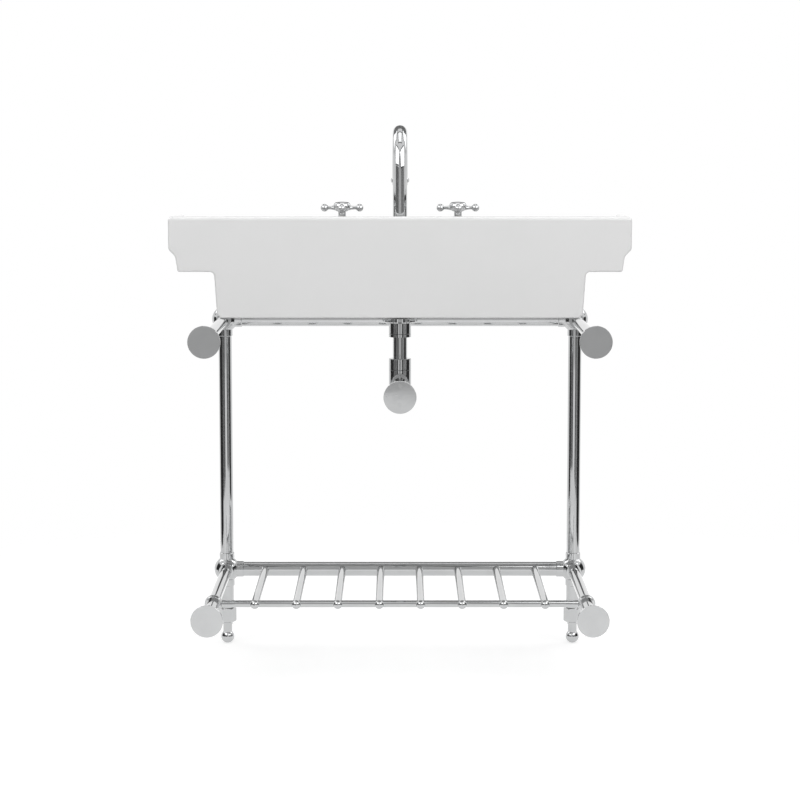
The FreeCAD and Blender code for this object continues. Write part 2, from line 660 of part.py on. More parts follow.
def shelf_rod(x):
    """One hollow rod: let into the front rail, drilled for the cross rod, with a ball end."""
    start = LEG_Y + FRONT_RAIL_RADIUS - SHELF_ROD_DEPTH
    ball_at = CROSS_ROD_Y + SHELF_ROD_BALL_OFFSET - start
    root_degrees = -math.degrees(math.acos(SHELF_ROD_RADIUS / SHELF_ROD_BALL_RADIUS))
    root = ball_at + SHELF_ROD_BALL_RADIUS * math.sin(math.radians(root_degrees))
    bore_radius = SHELF_ROD_RADIUS - TUBE_WALL
    outline = [(bore_radius, 0), (SHELF_ROD_RADIUS, 0), (SHELF_ROD_RADIUS, root),
               arc_through(0, ball_at, SHELF_ROD_BALL_RADIUS, root_degrees, 90), (0, root),
               (bore_radius, root)]
    body = point_wallward(turned(outline), Vector(x, start, LOWER_RAIL_Z))
    side = RIGHT * 2 * SHELF_ROD_RADIUS
    crossing = Vector(x, CROSS_ROD_Y, LOWER_RAIL_Z)
    return body.cut(rod(CROSS_ROD_RADIUS + SOCKET_CLEARANCE, crossing - side, crossing + side))


def cross_rod_half():
    """Half the length of the cross rod, up to the floors of its two tee sockets."""
    return RAIL_X - SIDE_RAIL_RADIUS - SOCKET_CLEARANCE - TEE_SOCKET_FLOOR


def cross_rod():
    """The rod that carries the back ends of the shelf rods."""
    half = cross_rod_half()
    return rod(CROSS_ROD_RADIUS, Vector(-half, CROSS_ROD_Y, LOWER_RAIL_Z),
               Vector(half, CROSS_ROD_Y, LOWER_RAIL_Z))


def tee(side):
    """A small ball on the side rail that holds one end of the cross rod."""
    centre = Vector(side * RAIL_X, CROSS_ROD_Y, LOWER_RAIL_Z)
    sleeve = rod(TEE_SLEEVE_RADIUS, centre - WALLWARD * TEE_SLEEVE_HALF,
                 centre + WALLWARD * TEE_SLEEVE_HALF)
    body = fuse_all([Part.makeSphere(TEE_BALL_RADIUS, centre), sleeve])
    reach = TEE_BALL_RADIUS + TEE_SLEEVE_HALF
    body = body.cut(rod(SIDE_RAIL_RADIUS + SOCKET_CLEARANCE, centre - WALLWARD * reach,
                        centre + WALLWARD * reach))
    socket_floor = Vector(side * cross_rod_half(), CROSS_ROD_Y, LOWER_RAIL_Z)
    return body.cut(rod(CROSS_ROD_RADIUS + SOCKET_CLEARANCE, socket_floor,
                        socket_floor - RIGHT * side * reach))


# ---------------------------------------------------------------- feet
def lock_nut(x):
    """A hexagonal nut under the leg, with turned chamfers and a lip below."""
    corner_radius = LOCK_NUT_ACROSS_CORNERS / 2
    corners = []
    for index in range(6):
        angle = math.radians(60 * index)
        corners.append((corner_radius * math.cos(angle), corner_radius * math.sin(angle)))
    prism = outline_face(corners, lambda u, v: Vector(u, v, LOCK_NUT_BOTTOM))
    prism = prism.extrude(UP * (LOCK_NUT_TOP - LOCK_NUT_BOTTOM))
    chamfer_height = LOCK_NUT_CHAMFER * math.tan(math.radians(30))
    envelope = turned([(0, LOCK_NUT_BOTTOM), (corner_radius - LOCK_NUT_CHAMFER, LOCK_NUT_BOTTOM),
                       (corner_radius, LOCK_NUT_BOTTOM + chamfer_height),
                       (corner_radius, LOCK_NUT_TOP - chamfer_height),
                       (corner_radius - LOCK_NUT_CHAMFER, LOCK_NUT_TOP), (0, LOCK_NUT_TOP)])
    lip = Part.makeCylinder(LOCK_NUT_LIP_RADIUS, LOCK_NUT_LIP + OVERCUT,
                            Vector(0, 0, LOCK_NUT_BOTTOM - LOCK_NUT_LIP))
    body = prism.common(envelope).fuse(lip)
    body = body.cut(rod(FOOT_STEM_RADIUS + RUNNING_CLEARANCE, ORIGIN, UP * LOCK_NUT_TOP * 2))
    body.translate(Vector(x, LEG_Y, 0))
    return body


def foot(x):
    """A levelling foot: a ball on a stem that screws up into the leg."""
    ball_z = math.sqrt(FOOT_BALL_RADIUS ** 2 - FOOT_FLAT_RADIUS ** 2)
    ball = Part.makeSphere(FOOT_BALL_RADIUS, UP * ball_z)
    below_floor = Part.makeBox(4 * FOOT_BALL_RADIUS, 4 * FOOT_BALL_RADIUS, FOOT_BALL_RADIUS,
                               Vector(-2 * FOOT_BALL_RADIUS, -2 * FOOT_BALL_RADIUS,
                                      -FOOT_BALL_RADIUS))
    stem = rod(FOOT_STEM_RADIUS, UP * ball_z, UP * (LOCK_NUT_TOP + FOOT_STEM_ENGAGEMENT))
    body = fuse_all([ball.cut(below_floor), stem])
    body.translate(Vector(x, LEG_Y, 0))
    return body


# ---------------------------------------------------------------- basin rests
def rest_places():
    """The rests' places along the upper front rail."""
    return [side * REST_SPREAD for side in (-1, 1)]


def rest_post(x):
    """A rest: a saddle foot on the rail, a stud and a round plate."""
    pad_foot = BOWL_Z - PAD_THICKNESS
    plate_top = pad_foot + PAD_LIP
    plate_foot = plate_top - REST_PLATE_THICKNESS
    rail_top = UPPER_RAIL_Z + FRONT_RAIL_RADIUS
    saddle_foot = UPPER_RAIL_Z + FRONT_RAIL_RADIUS / 2
    stud_foot = rail_top - 2 * TUBE_WALL
    outline = [(0, stud_foot), (REST_STUD_RADIUS, stud_foot), (REST_STUD_RADIUS, plate_foot),
               (REST_PLATE_RADIUS, plate_foot), (REST_PLATE_RADIUS, plate_top), (0, plate_top)]
    saddle = Part.makeCylinder(REST_FOOT_RADIUS, rail_top + REST_FOOT_HEIGHT - saddle_foot,
                               UP * saddle_foot)
    rail = rod(FRONT_RAIL_RADIUS + SOCKET_CLEARANCE,
               Vector(-2 * REST_FOOT_RADIUS, 0, UPPER_RAIL_Z),
               Vector(2 * REST_FOOT_RADIUS, 0, UPPER_RAIL_Z))
    body = saddle.cut(rail).fuse(turned(outline)).removeSplitter()
    body.translate(Vector(x, LEG_Y, 0))
    return body


def rest_pad(x):
    """A rubber cap over a rest's plate, under the bowl."""
    foot_z = BOWL_Z - PAD_THICKNESS
    pad = Part.makeCylinder(PAD_RADIUS, PAD_THICKNESS, UP * foot_z)
    recess = Part.makeCylinder(REST_PLATE_RADIUS + SOCKET_CLEARANCE, PAD_LIP + OVERCUT,
                               UP * (foot_z - OVERCUT))
    body = pad.cut(recess)
    body.translate(Vector(x, LEG_Y, 0))
    return body


# ---------------------------------------------------------------- taps
def bell(radius, height, neck_radius, shoulder):
    """A solid bell: a flat rim, a concave flare and a rounded shoulder at its neck."""
    rim = ESCUTCHEON_RIM
    flare_foot = (radius - rim, rim)
    flare_top = (neck_radius, height - shoulder)
    return turned([(0, 0), (radius, 0), (radius, rim / 2), (radius - rim / 2, rim), flare_foot,
                   bowed(flare_foot, flare_top, -FLARE_BOW),
                   arc_through(neck_radius - shoulder, height - shoulder, shoulder, 0, 90),
                   (0, height)])


def escutcheon(x):
    """The bell that covers a valve on the deck."""
    body = bell(ESCUTCHEON_RADIUS, ESCUTCHEON_HEIGHT, ESCUTCHEON_NECK_RADIUS, ESCUTCHEON_SHOULDER)
    neck_inner = ESCUTCHEON_NECK_RADIUS - ESCUTCHEON_WALL
    shank_inner = SHANK_RADIUS + SOCKET_CLEARANCE
    roof_foot = ESCUTCHEON_HEIGHT - ESCUTCHEON_ROOF
    inside = [(0, -OVERCUT), (shank_inner, -OVERCUT), (shank_inner, SHANK_ABOVE_DECK),
              (neck_inner, ESCUTCHEON_THROAT), (neck_inner, roof_foot), (0, roof_foot)]
    body = body.cut(turned(inside))
    body = body.cut(rod(SPINDLE_RADIUS + BODY_GAP, ORIGIN, UP * (ESCUTCHEON_HEIGHT + OVERCUT)))
    body.translate(Vector(x, TAP_Y, DECK_Z))
    return body


def valve_places():
    """The two valve axes, by name."""
    return (("hot", -TAP_SPREAD), ("cold", TAP_SPREAD))


def link_height():
    """Axis height of the pipes that join the valves to the spout."""
    return DECK_UNDERSIDE - SHANK_BELOW_DECK - VALVE_BODY_HEIGHT / 2


def valve_body(x):
    """The valve under the deck: shank, body with a side socket, and a threaded inlet tail."""
    shank_top = DECK_Z + SHANK_ABOVE_DECK
    shank_foot = DECK_UNDERSIDE - SHANK_BELOW_DECK
    body_foot = shank_foot - VALVE_BODY_HEIGHT
    inlet_foot = body_foot - INLET_LENGTH
    outline = [(0, inlet_foot), (INLET_RADIUS, inlet_foot), (INLET_RADIUS, body_foot),
               (VALVE_BODY_RADIUS, body_foot), (VALVE_BODY_RADIUS, shank_foot),
               (SHANK_RADIUS, shank_foot), (SHANK_RADIUS, shank_top), (0, shank_top)]
    body = turned(outline)
    body = body.cut(rod(SPINDLE_RADIUS + RUNNING_CLEARANCE, UP * (shank_top - CARTRIDGE_DEPTH),
                        UP * (shank_top + OVERCUT)))
    body = body.cut(rod(INLET_BORE, UP * (inlet_foot - OVERCUT), UP * (body_foot + WATERWAY_RISE)))
    inward = RIGHT * (-1 if x > 0 else 1)
    socket_floor = inward * (VALVE_BODY_RADIUS - LINK_SOCKET) + UP * link_height()
    socket_mouth = inward * (VALVE_BODY_RADIUS + OVERCUT) + UP * link_height()
    body = body.cut(rod(LINK_RADIUS + SOCKET_CLEARANCE, socket_floor, socket_mouth))
    body.translate(Vector(x, TAP_Y, 0))
    return body


def deck_fastener(x, top, bottom, radius):
    """A ring on a shank under the deck, between two depths below the deck's underside."""
    place = Vector(x, TAP_Y, DECK_UNDERSIDE - bottom)
    ring = Part.makeCylinder(radius, bottom - top, place)
    return ring.cut(Part.makeCylinder(SHANK_RADIUS + SOCKET_CLEARANCE, bottom - top, place))


def link_pipe(side):
    """A pipe from a valve to the spout's shank."""
    start = side * (SHANK_RADIUS - LINK_SOCKET)
    end = side * (TAP_SPREAD - VALVE_BODY_RADIUS + LINK_SOCKET)
    return tube(LINK_RADIUS, LINK_WALL, Vector(start, TAP_Y, link_height()),
                Vector(end, TAP_Y, link_height()))


def hub_foot():
    """Height of the underside of a handle's neck, just above its escutcheon."""
    return DECK_Z + ESCUTCHEON_HEIGHT + BODY_GAP


def spindle(x):
    """The spindle that a handle turns."""
    foot_z = DECK_Z + SHANK_ABOVE_DECK - CARTRIDGE_DEPTH + BODY_GAP
    return rod(SPINDLE_RADIUS, Vector(x, TAP_Y, foot_z),
               Vector(x, TAP_Y, hub_foot() + HUB_HEIGHT - 2 * BUTTON_THICKNESS))


def handle_arm():
    """One turned arm along +X: a taper to a waist, a collar and a ball tip."""
    ball_at = HANDLE_REACH - TIP_RADIUS
    collar_at = ball_at - math.sqrt(TIP_RADIUS ** 2 - ARM_COLLAR_RADIUS ** 2)
    waist_to_collar = (collar_at - ARM_WAIST_AT) / 2
    root = (ARM_ROOT_RADIUS, ARM_ROOT_AT)
    waist = (ARM_WAIST_RADIUS, ARM_WAIST_AT)
    outline = [(0, 0), (ARM_ROOT_RADIUS, 0), root, bowed(root, waist, -ARM_TAPER_BOW),
               (ARM_WAIST_RADIUS, ARM_WAIST_AT + waist_to_collar),
               (ARM_COLLAR_RADIUS, collar_at), (ARM_COLLAR_RADIUS, ball_at), (0, ball_at)]
    arm = turned(outline)
    arm.rotate(ORIGIN, WALLWARD, 90)
    return arm.fuse(Part.makeSphere(TIP_RADIUS, RIGHT * ball_at))


def cross_handle(x):
    """The four-armed handle: a domed hub on a neck, with a recess for the index button."""
    neck_top = (HUB_NECK_RADIUS, HUB_NECK_HEIGHT)
    belly = (HUB_RADIUS, HUB_BELLY)
    crown = (BUTTON_RADIUS + BUTTON_LAND, HUB_HEIGHT)
    hub = turned([(0, 0), (HUB_NECK_RADIUS, 0), neck_top, bowed(neck_top, belly, HUB_BELLY_BOW),
                  bowed(belly, crown, HUB_DOME_BOW), (0, HUB_HEIGHT)])
    arms = []
    for index in range(ARM_COUNT):
        arm = handle_arm()
        arm.rotate(ORIGIN, UP, 360 / ARM_COUNT * index)
        arm.translate(UP * ARM_HEIGHT_IN_HUB)
        arms.append(arm)
    body = fuse_all([hub] + arms)
    recess = Part.makeCylinder(BUTTON_RADIUS + SOCKET_CLEARANCE, BUTTON_THICKNESS + OVERCUT,
                               UP * (HUB_HEIGHT - BUTTON_THICKNESS))
    bore = rod(SPINDLE_RADIUS + SOCKET_CLEARANCE, ORIGIN - UP * OVERCUT,
               UP * (HUB_HEIGHT - 2 * BUTTON_THICKNESS))
    body = body.cut(recess).cut(bore)
    body.translate(Vector(x, TAP_Y, hub_foot()))
    return body


def handle_button(x):
    """The plain index button let into the top of a handle."""
    outline = [(0, 0), (BUTTON_RADIUS, 0), (BUTTON_RADIUS, BUTTON_THICKNESS),
               crown_arc(BUTTON_RADIUS, BUTTON_THICKNESS, BUTTON_CROWN)]
    return turned(outline, Vector(x, TAP_Y, hub_foot() + HUB_HEIGHT - BUTTON_THICKNESS))


# ---------------------------------------------------------------- spout
def spout_base():
    """The spout's bell on the deck, in one piece with its threaded shank."""
    shank_foot = -DECK_THICKNESS - SHANK_BELOW_DECK - VALVE_BODY_HEIGHT
    neck = SPOUT_RADIUS + RUNNING_CLEARANCE + ESCUTCHEON_WALL
    cover = bell(SPOUT_BASE_RADIUS, SPOUT_BASE_HEIGHT, neck, SPOUT_BASE_SHOULDER)
    shank = Part.makeCylinder(SHANK_RADIUS, -shank_foot + OVERCUT, UP * shank_foot)
    body = fuse_all([cover, shank])
    socket_floor = SPOUT_BASE_HEIGHT - SPOUT_SOCKET_DEPTH
    body = body.cut(rod(SPOUT_RADIUS + RUNNING_CLEARANCE, UP * socket_floor,
                        UP * (SPOUT_BASE_HEIGHT + OVERCUT)))
    body = body.cut(rod(SPOUT_SHANK_BORE, UP * (shank_foot + SPOUT_SHANK_FLOOR),
                        UP * SPOUT_BASE_HEIGHT))
    link_z = link_height() - DECK_Z
    for side in (-1, 1):
        body = body.cut(rod(LINK_RADIUS + SOCKET_CLEARANCE,
                            Vector(side * (SHANK_RADIUS - LINK_SOCKET), 0, link_z),
                            Vector(side * (SHANK_RADIUS + OVERCUT), 0, link_z)))
    body.translate(Vector(0, TAP_Y, DECK_Z))
    return body


def gooseneck():
    """The bent tube of the spout, a little wider at its outlet, with its bore."""
    foot_z = SPOUT_BASE_HEIGHT - SPOUT_SOCKET_DEPTH + BODY_GAP
    bend = SPOUT_REACH / 2
    bend_z = SPOUT_TOP - (SPOUT_RADIUS + SPOUT_OUTLET_RADIUS) / 2 - bend
    outlet_z = SPOUT_OUTLET_HEIGHT + NOZZLE_RING / 2
    spine = Part.Arc(UP * bend_z, Vector(0, -bend, bend_z + bend),
                     Vector(0, -SPOUT_REACH, bend_z)).toShape()

    def bent(start_radius, end_radius):
        sections = [Part.Wire([Part.Circle(Vector(0, y, bend_z), UP, radius).toShape()])
                    for y, radius in ((0, start_radius), (-SPOUT_REACH, end_radius))]
        return Part.Wire([spine]).makePipeShell(sections, True, False)

    riser = rod(SPOUT_RADIUS, UP * foot_z, UP * bend_z)
    drop_top = Vector(0, -SPOUT_REACH, bend_z)
    drop_foot = Vector(0, -SPOUT_REACH, outlet_z)
    drop = rod(SPOUT_OUTLET_RADIUS, drop_foot, drop_top)
    body = fuse_all([riser, bent(SPOUT_RADIUS, SPOUT_OUTLET_RADIUS), drop])
    bore = fuse_all([rod(SPOUT_BORE, UP * (foot_z - OVERCUT), UP * bend_z),
                     bent(SPOUT_BORE, SPOUT_BORE),
                     rod(SPOUT_BORE, drop_foot - UP * OVERCUT, drop_top)])
    body = body.cut(bore)
    body.translate(Vector(0, TAP_Y, DECK_Z))
    return body


def nozzle():
    """The outlet ring under the gooseneck, with a short tail and an open mouth."""
    half = NOZZLE_RING / 2
    tail_foot = -half - NOZZLE_TAIL
    edge_radius = NOZZLE_RADIUS - NOZZLE_SWELL
    outline = [(SPOUT_BORE, tail_foot), (SPOUT_OUTLET_RADIUS - NOZZLE_LIP, tail_foot),
               (SPOUT_OUTLET_RADIUS, tail_foot + NOZZLE_LIP), (SPOUT_OUTLET_RADIUS, -half),
               (edge_radius, -half), (NOZZLE_RADIUS, 0, edge_radius, half), (SPOUT_BORE, half)]
    return turned(outline, Vector(0, TAP_Y - SPOUT_REACH, DECK_Z + SPOUT_OUTLET_HEIGHT))


# ---------------------------------------------------------------- waste
def drain_place(height):
    """A point on the axis of the waste."""
    return Vector(0, DRAIN_Y, height)


def backnut_foot():
    """Height of the underside of the nut that clamps the waste to the basin."""
    return BOWL_Z - DRAIN_BOSS_DROP - DRAIN_GASKET - DRAIN_BACKNUT_HEIGHT


def drain_bar_foot():
    """Height of the underside of the bar across the waste, which guides the plug's stem."""
    return FLOOR_Z - FLOOR_FALL - DRAIN_BAR_DEPTH


def drain_body():
    """The waste: a flange in the bowl's floor, a body with a cross bar, and an open bore."""
    flange_foot = FLOOR_Z - FLOOR_FALL
    flange_top = flange_foot + DRAIN_FLANGE_THICKNESS
    body_foot = backnut_foot() - SLIP_NUT_HEIGHT + SLIP_NUT_BEAD + TAILPIECE_FLANGE
    seat_depth = PLUG_CROWN + DRAIN_FLANGE_THICKNESS
    outline = [(DRAIN_BORE, body_foot), (DRAIN_BODY_RADIUS, body_foot),
               (DRAIN_BODY_RADIUS, flange_foot - seat_depth - DRAIN_FLANGE_THICKNESS),
               (DRAIN_SEAT_RADIUS - BODY_GAP, flange_foot - seat_depth),
               (DRAIN_SEAT_RADIUS - BODY_GAP, flange_foot), (DRAIN_FLANGE_RADIUS, flange_foot),
               (DRAIN_FLANGE_RADIUS, flange_foot + DRAIN_FLANGE_EDGE),
               (DRAIN_FLANGE_RADIUS - 2 * DRAIN_FLANGE_EDGE, flange_top),
               (PLUG_RADIUS + BODY_GAP, flange_top),
               (PLUG_RADIUS + BODY_GAP, flange_foot), (DRAIN_BORE, flange_foot - seat_depth)]
    body = turned(outline)
    bar_z = drain_bar_foot()
    bar_half_length = DRAIN_BORE + DRAIN_BAR_BITE
    bar_half_width = PLUG_STEM_RADIUS + DRAIN_BAR_SIDE
    bar = Part.makeBox(2 * bar_half_length, 2 * bar_half_width, seat_depth,
                       Vector(-bar_half_length, -bar_half_width, bar_z))
    body = body.fuse(bar).removeSplitter()
    body = body.cut(rod(PLUG_STEM_RADIUS + RUNNING_CLEARANCE, UP * (bar_z - OVERCUT),
                        UP * (bar_z + 2 * seat_depth)))
    body.translate(drain_place(0))
    return body


def drain_plug():
    """The push-button plug: a domed disc on a guide stem."""
    flange_top = FLOOR_Z - FLOOR_FALL + DRAIN_FLANGE_THICKNESS
    seat_depth = PLUG_CROWN + DRAIN_FLANGE_THICKNESS
    disc_foot = flange_top - DRAIN_FLANGE_THICKNESS + BODY_GAP
    stem_foot = drain_bar_foot() - PLUG_LIFT
    outline = [(0, stem_foot), (PLUG_STEM_RADIUS, stem_foot),
               (PLUG_STEM_RADIUS, disc_foot - seat_depth),
               (PLUG_THROAT_RADIUS, disc_foot), (PLUG_RADIUS, disc_foot), (PLUG_RADIUS, flange_top),
               crown_arc(PLUG_RADIUS, flange_top, PLUG_CROWN)]
    return turned(outline, drain_place(0))


def ring_on_drain(radius, bore, foot_z, top_z, edge):
    """A ring on the axis of the waste, with broken outer edges."""
    return turned([(bore, foot_z), (radius - edge, foot_z), (radius, foot_z + edge),
                   (radius, top_z - edge), (radius - edge, top_z), (bore, top_z)], drain_place(0))


def drain_gasket():
    """The rubber ring between the basin's boss and the backnut."""
    top = BOWL_Z - DRAIN_BOSS_DROP
    return ring_on_drain(DRAIN_BACKNUT_RADIUS - DRAIN_GASKET_INSET,
                         DRAIN_BODY_RADIUS + SOCKET_CLEARANCE, top - DRAIN_GASKET, top, BODY_GAP)


def drain_backnut():
    """The broad nut that clamps the waste."""
    foot_z = backnut_foot()
    return ring_on_drain(DRAIN_BACKNUT_RADIUS, DRAIN_BODY_RADIUS + SOCKET_CLEARANCE, foot_z,
                         foot_z + DRAIN_BACKNUT_HEIGHT, DRAIN_BACKNUT_EDGE)


def slip_nut():
    """The nut that holds the tailpiece up against the waste, with a bead at its foot."""
    top = backnut_foot()
    foot_z = top - SLIP_NUT_HEIGHT
    groove_z = foot_z + SLIP_NUT_BEAD
    outer = SLIP_NUT_RADIUS
    outline = [(TAILPIECE_RADIUS + SOCKET_CLEARANCE, foot_z), (outer, foot_z),
               (outer, groove_z - SLIP_NUT_GROOVE), (outer - SLIP_NUT_GROOVE, groove_z),
               (outer, groove_z + SLIP_NUT_GROOVE), (outer, top),
               (DRAIN_BODY_RADIUS + SOCKET_CLEARANCE, top),
               (DRAIN_BODY_RADIUS + SOCKET_CLEARANCE, groove_z),
               (TAILPIECE_RADIUS + SOCKET_CLEARANCE, groove_z)]
    return turned(outline, drain_place(0))


def trap_nut_foot():
    """Height of the joint between the trap's nut and its body."""
    return WASTE_OUTLET_Z + TRAP_NUT_ABOVE_OUTLET


def trap_joint():
    """Height of the joint between the trap's body and its cup."""
    return WASTE_OUTLET_Z - TRAP_BODY_DROP


def tailpiece():
    """The tube from the waste down into the trap, where it ends as the dip tube."""
    flange_foot = backnut_foot() - SLIP_NUT_HEIGHT + SLIP_NUT_BEAD
    flange_top = flange_foot + TAILPIECE_FLANGE
    foot_z = trap_joint() - TRAP_CUP_HEIGHT / 2
    bore = TAILPIECE_RADIUS - TUBE_WALL
    outline = [(bore, foot_z), (TAILPIECE_RADIUS, foot_z), (TAILPIECE_RADIUS, flange_foot),
               (DRAIN_BODY_RADIUS, flange_foot), (DRAIN_BODY_RADIUS, flange_top), (bore, flange_top)]
    return turned(outline, drain_place(0))


def trap_nut():
    """The nut on top of the trap."""
    foot_z = trap_nut_foot()
    bore = TAILPIECE_RADIUS + SOCKET_CLEARANCE
    outline = [(bore, foot_z), (TRAP_RADIUS - SLIP_NUT_GROOVE, foot_z),
               (TRAP_RADIUS, foot_z + SLIP_NUT_GROOVE),
               (TRAP_RADIUS, foot_z + TRAP_NUT_HEIGHT - SLIP_NUT_GROOVE),
               (TRAP_RADIUS - SLIP_NUT_GROOVE, foot_z + TRAP_NUT_HEIGHT),
               (bore, foot_z + TRAP_NUT_HEIGHT)]
    return turned(outline, drain_place(0))


def trap_body():
    """The upper half of the bottle trap, with the collar that takes the waste arm."""
    top = trap_nut_foot()
    foot_z = trap_joint()
    inner = TRAP_RADIUS - TRAP_WALL
    roof = top - TRAP_WALL
    mouth_radius = TAILPIECE_RADIUS + SOCKET_CLEARANCE
    shell = turned([(mouth_radius, roof), (inner, roof), (inner, foot_z), (TRAP_RADIUS, foot_z),
                    (TRAP_RADIUS, top - SLIP_NUT_GROOVE), (TRAP_RADIUS - SLIP_NUT_GROOVE, top),
                    (mouth_radius, top)])
    axis = UP * WASTE_OUTLET_Z
    start = axis + WALLWARD * TAILPIECE_RADIUS
    mouth = axis + WALLWARD * TRAP_COLLAR_REACH
    outlet = rod(TRAP_COLLAR_RADIUS, start, mouth)
    inside = Part.makeCylinder(inner, top - foot_z, UP * foot_z)
    body = fuse_all([shell, outlet.cut(inside)])
    arm_end = axis + WALLWARD * (TRAP_RADIUS + BODY_GAP)
    body = body.cut(rod(mouth_radius, arm_end, mouth + WALLWARD * OVERCUT))
    body = body.cut(rod(TAILPIECE_RADIUS - TUBE_WALL, start, mouth))
    body.translate(drain_place(0))
    return body


def trap_cup():
    """The cup that unscrews from the trap, with a domed bottom."""
    top = trap_joint()
    foot_z = top - TRAP_CUP_HEIGHT
    inner = TRAP_RADIUS - TRAP_WALL
    neck = inner - SOCKET_CLEARANCE
    neck_inner = neck - TRAP_WALL / 2
    corner = TRAP_CUP_CORNER
    floor_z = foot_z + TRAP_WALL
    outline = [(0, foot_z), (TRAP_RADIUS - corner, foot_z),
               arc_through(TRAP_RADIUS - corner, foot_z + corner, corner, 270, 360),
               (TRAP_RADIUS, top), (neck, top), (neck, top + TRAP_THREAD_HEIGHT),
               (neck_inner, top + TRAP_THREAD_HEIGHT), (neck_inner, floor_z + corner),
               (neck_inner - corner / 2, floor_z), (0, floor_z)]
    return turned(outline, drain_place(0))


def waste_arm():
    """The pipe from the trap back to the wall."""
    start = drain_place(WASTE_OUTLET_Z) + WALLWARD * (TRAP_RADIUS + 2 * BODY_GAP)
    end = Vector(0, WALL_Y - FLANGE_FLOOR, WASTE_OUTLET_Z)
    return tube(TAILPIECE_RADIUS, TUBE_WALL, start, end)


# ---------------------------------------------------------------- build
def build():
    """Make every sub-part and write it."""
    save("basin", basin())
    for name, side in (("left", -1), ("right", 1)):
        x = side * RAIL_X
        save("leg_" + name, leg(x))
        save("ball_upper_" + name, ball_fitting(side, UPPER_RAIL_Z, False))
        save("ball_lower_" + name, ball_fitting(side, LOWER_RAIL_Z, True))
        for level, height in (("upper", UPPER_RAIL_Z), ("lower", LOWER_RAIL_Z)):
            save("side_rail_" + level + "_" + name, side_rail(side, height))
            save("wall_flange_" + level + "_" + name,
                 flange(SIDE_RAIL_RADIUS, Vector(x, WALL_Y, height)))
        save("cross_rod_tee_" + name, tee(side))
        save("foot_" + name, foot(x))
    save("foot_lock_nuts", Part.makeCompound([lock_nut(-RAIL_X), lock_nut(RAIL_X)]))
    save("front_rail_upper", upper_front_rail())
    save("front_rail_lower", lower_front_rail())
    save("basin_rests", Part.makeCompound([rest_post(x) for x in rest_places()]))
    save("basin_rest_pads", Part.makeCompound([rest_pad(x) for x in rest_places()]))
    for index, x in enumerate(shelf_rod_places()):
        save("shelf_rod_" + str(index + 1), shelf_rod(x))
    save("shelf_cross_rod", cross_rod())
    for name, x in valve_places():
        save(name + "_valve_body", valve_body(x))
        save(name + "_escutcheon", escutcheon(x))
        save(name + "_spindle", spindle(x))
        save(name + "_cross_handle", cross_handle(x))
        save(name + "_handle_button", handle_button(x))
    deck_places = (-TAP_SPREAD, 0, TAP_SPREAD)
    washers = [deck_fastener(x, 0, WASHER_THICKNESS, BACKNUT_RADIUS - 1) for x in deck_places]
    backnuts = [deck_fastener(x, WASHER_THICKNESS, WASHER_THICKNESS + BACKNUT_HEIGHT,
                              BACKNUT_RADIUS) for x in deck_places]
    save("deck_washers", Part.makeCompound(washers))
    save("deck_backnuts", Part.makeCompound(backnuts))
    save("link_pipes", Part.makeCompound([link_pipe(-1), link_pipe(1)]))
    save("spout_base", spout_base())
    save("spout_gooseneck", gooseneck())
    save("spout_nozzle", nozzle())
    save("drain_body", drain_body())
    save("drain_plug", drain_plug())
    save("drain_gasket", drain_gasket())
    save("drain_backnut", drain_backnut())
    save("tailpiece_nut", slip_nut())
    save("tailpiece", tailpiece())
    save("trap_nut", trap_nut())
    save("trap_body", trap_body())
    save("trap_cup", trap_cup())
    save("waste_arm", waste_arm())
    save("waste_wall_flange", flange(TAILPIECE_RADIUS, Vector(0, WALL_Y, WASTE_OUTLET_Z)))


build()
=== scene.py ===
import json
import math

import bmesh
import bpy
from bpy.props import FloatProperty, FloatVectorProperty, IntProperty, PointerProperty
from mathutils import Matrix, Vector


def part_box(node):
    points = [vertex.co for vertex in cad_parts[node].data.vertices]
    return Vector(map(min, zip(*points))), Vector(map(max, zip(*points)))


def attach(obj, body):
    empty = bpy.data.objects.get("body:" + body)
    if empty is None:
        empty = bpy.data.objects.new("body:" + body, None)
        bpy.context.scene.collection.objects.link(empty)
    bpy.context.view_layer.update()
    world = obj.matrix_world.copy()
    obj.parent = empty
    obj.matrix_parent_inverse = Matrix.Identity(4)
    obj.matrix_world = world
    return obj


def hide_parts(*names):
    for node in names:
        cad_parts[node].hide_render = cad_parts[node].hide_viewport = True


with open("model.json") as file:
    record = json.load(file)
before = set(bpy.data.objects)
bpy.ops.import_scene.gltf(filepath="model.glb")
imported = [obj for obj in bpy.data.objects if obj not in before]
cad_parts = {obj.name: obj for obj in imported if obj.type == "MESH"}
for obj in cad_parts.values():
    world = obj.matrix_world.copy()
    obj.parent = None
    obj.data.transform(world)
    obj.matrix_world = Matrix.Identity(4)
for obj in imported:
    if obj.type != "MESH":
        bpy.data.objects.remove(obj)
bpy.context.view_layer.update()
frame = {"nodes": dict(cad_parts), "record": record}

INLET_LENGTH = 0.022
VALVE_HEIGHT = 0.030
NUT_CHAMFER_SLOPE = math.radians(30)
THREAD_STEPS = 36
ROUND_STEPS = 96
LATTICE_RISE = 0.0028
LATTICE_WALL = 0.00025
LATTICE_HEIGHT = 0.0016
RING_DROP = 0.0014
RING_HEIGHT = 0.0034
RING_WALL = 0.0009
FLOOR_RADIUS = 3.5
FLOOR_DROP = 0.0002
RIM_WIDTH = 0.2
WORLD_FILL = 0.74
STUDIO_MIDDLE = 0.55

bl_info = {
    "name": "Console washstand finishes",
    "version": (1, 0, 0),
    "blender": (4, 5, 0),
    "location": "3D View > Sidebar > Washstand",
    "description": "Glazes, plates and details a console washstand and sets up its studio",
    "category": "Object",
}


# ---------------------------------------------------------------- settings
def colour_property(name, description, default):
    """A colour that the user can change."""
    return FloatVectorProperty(name=name, description=description, default=default,
                               size=3, min=0.0, max=1.0, subtype="COLOR")


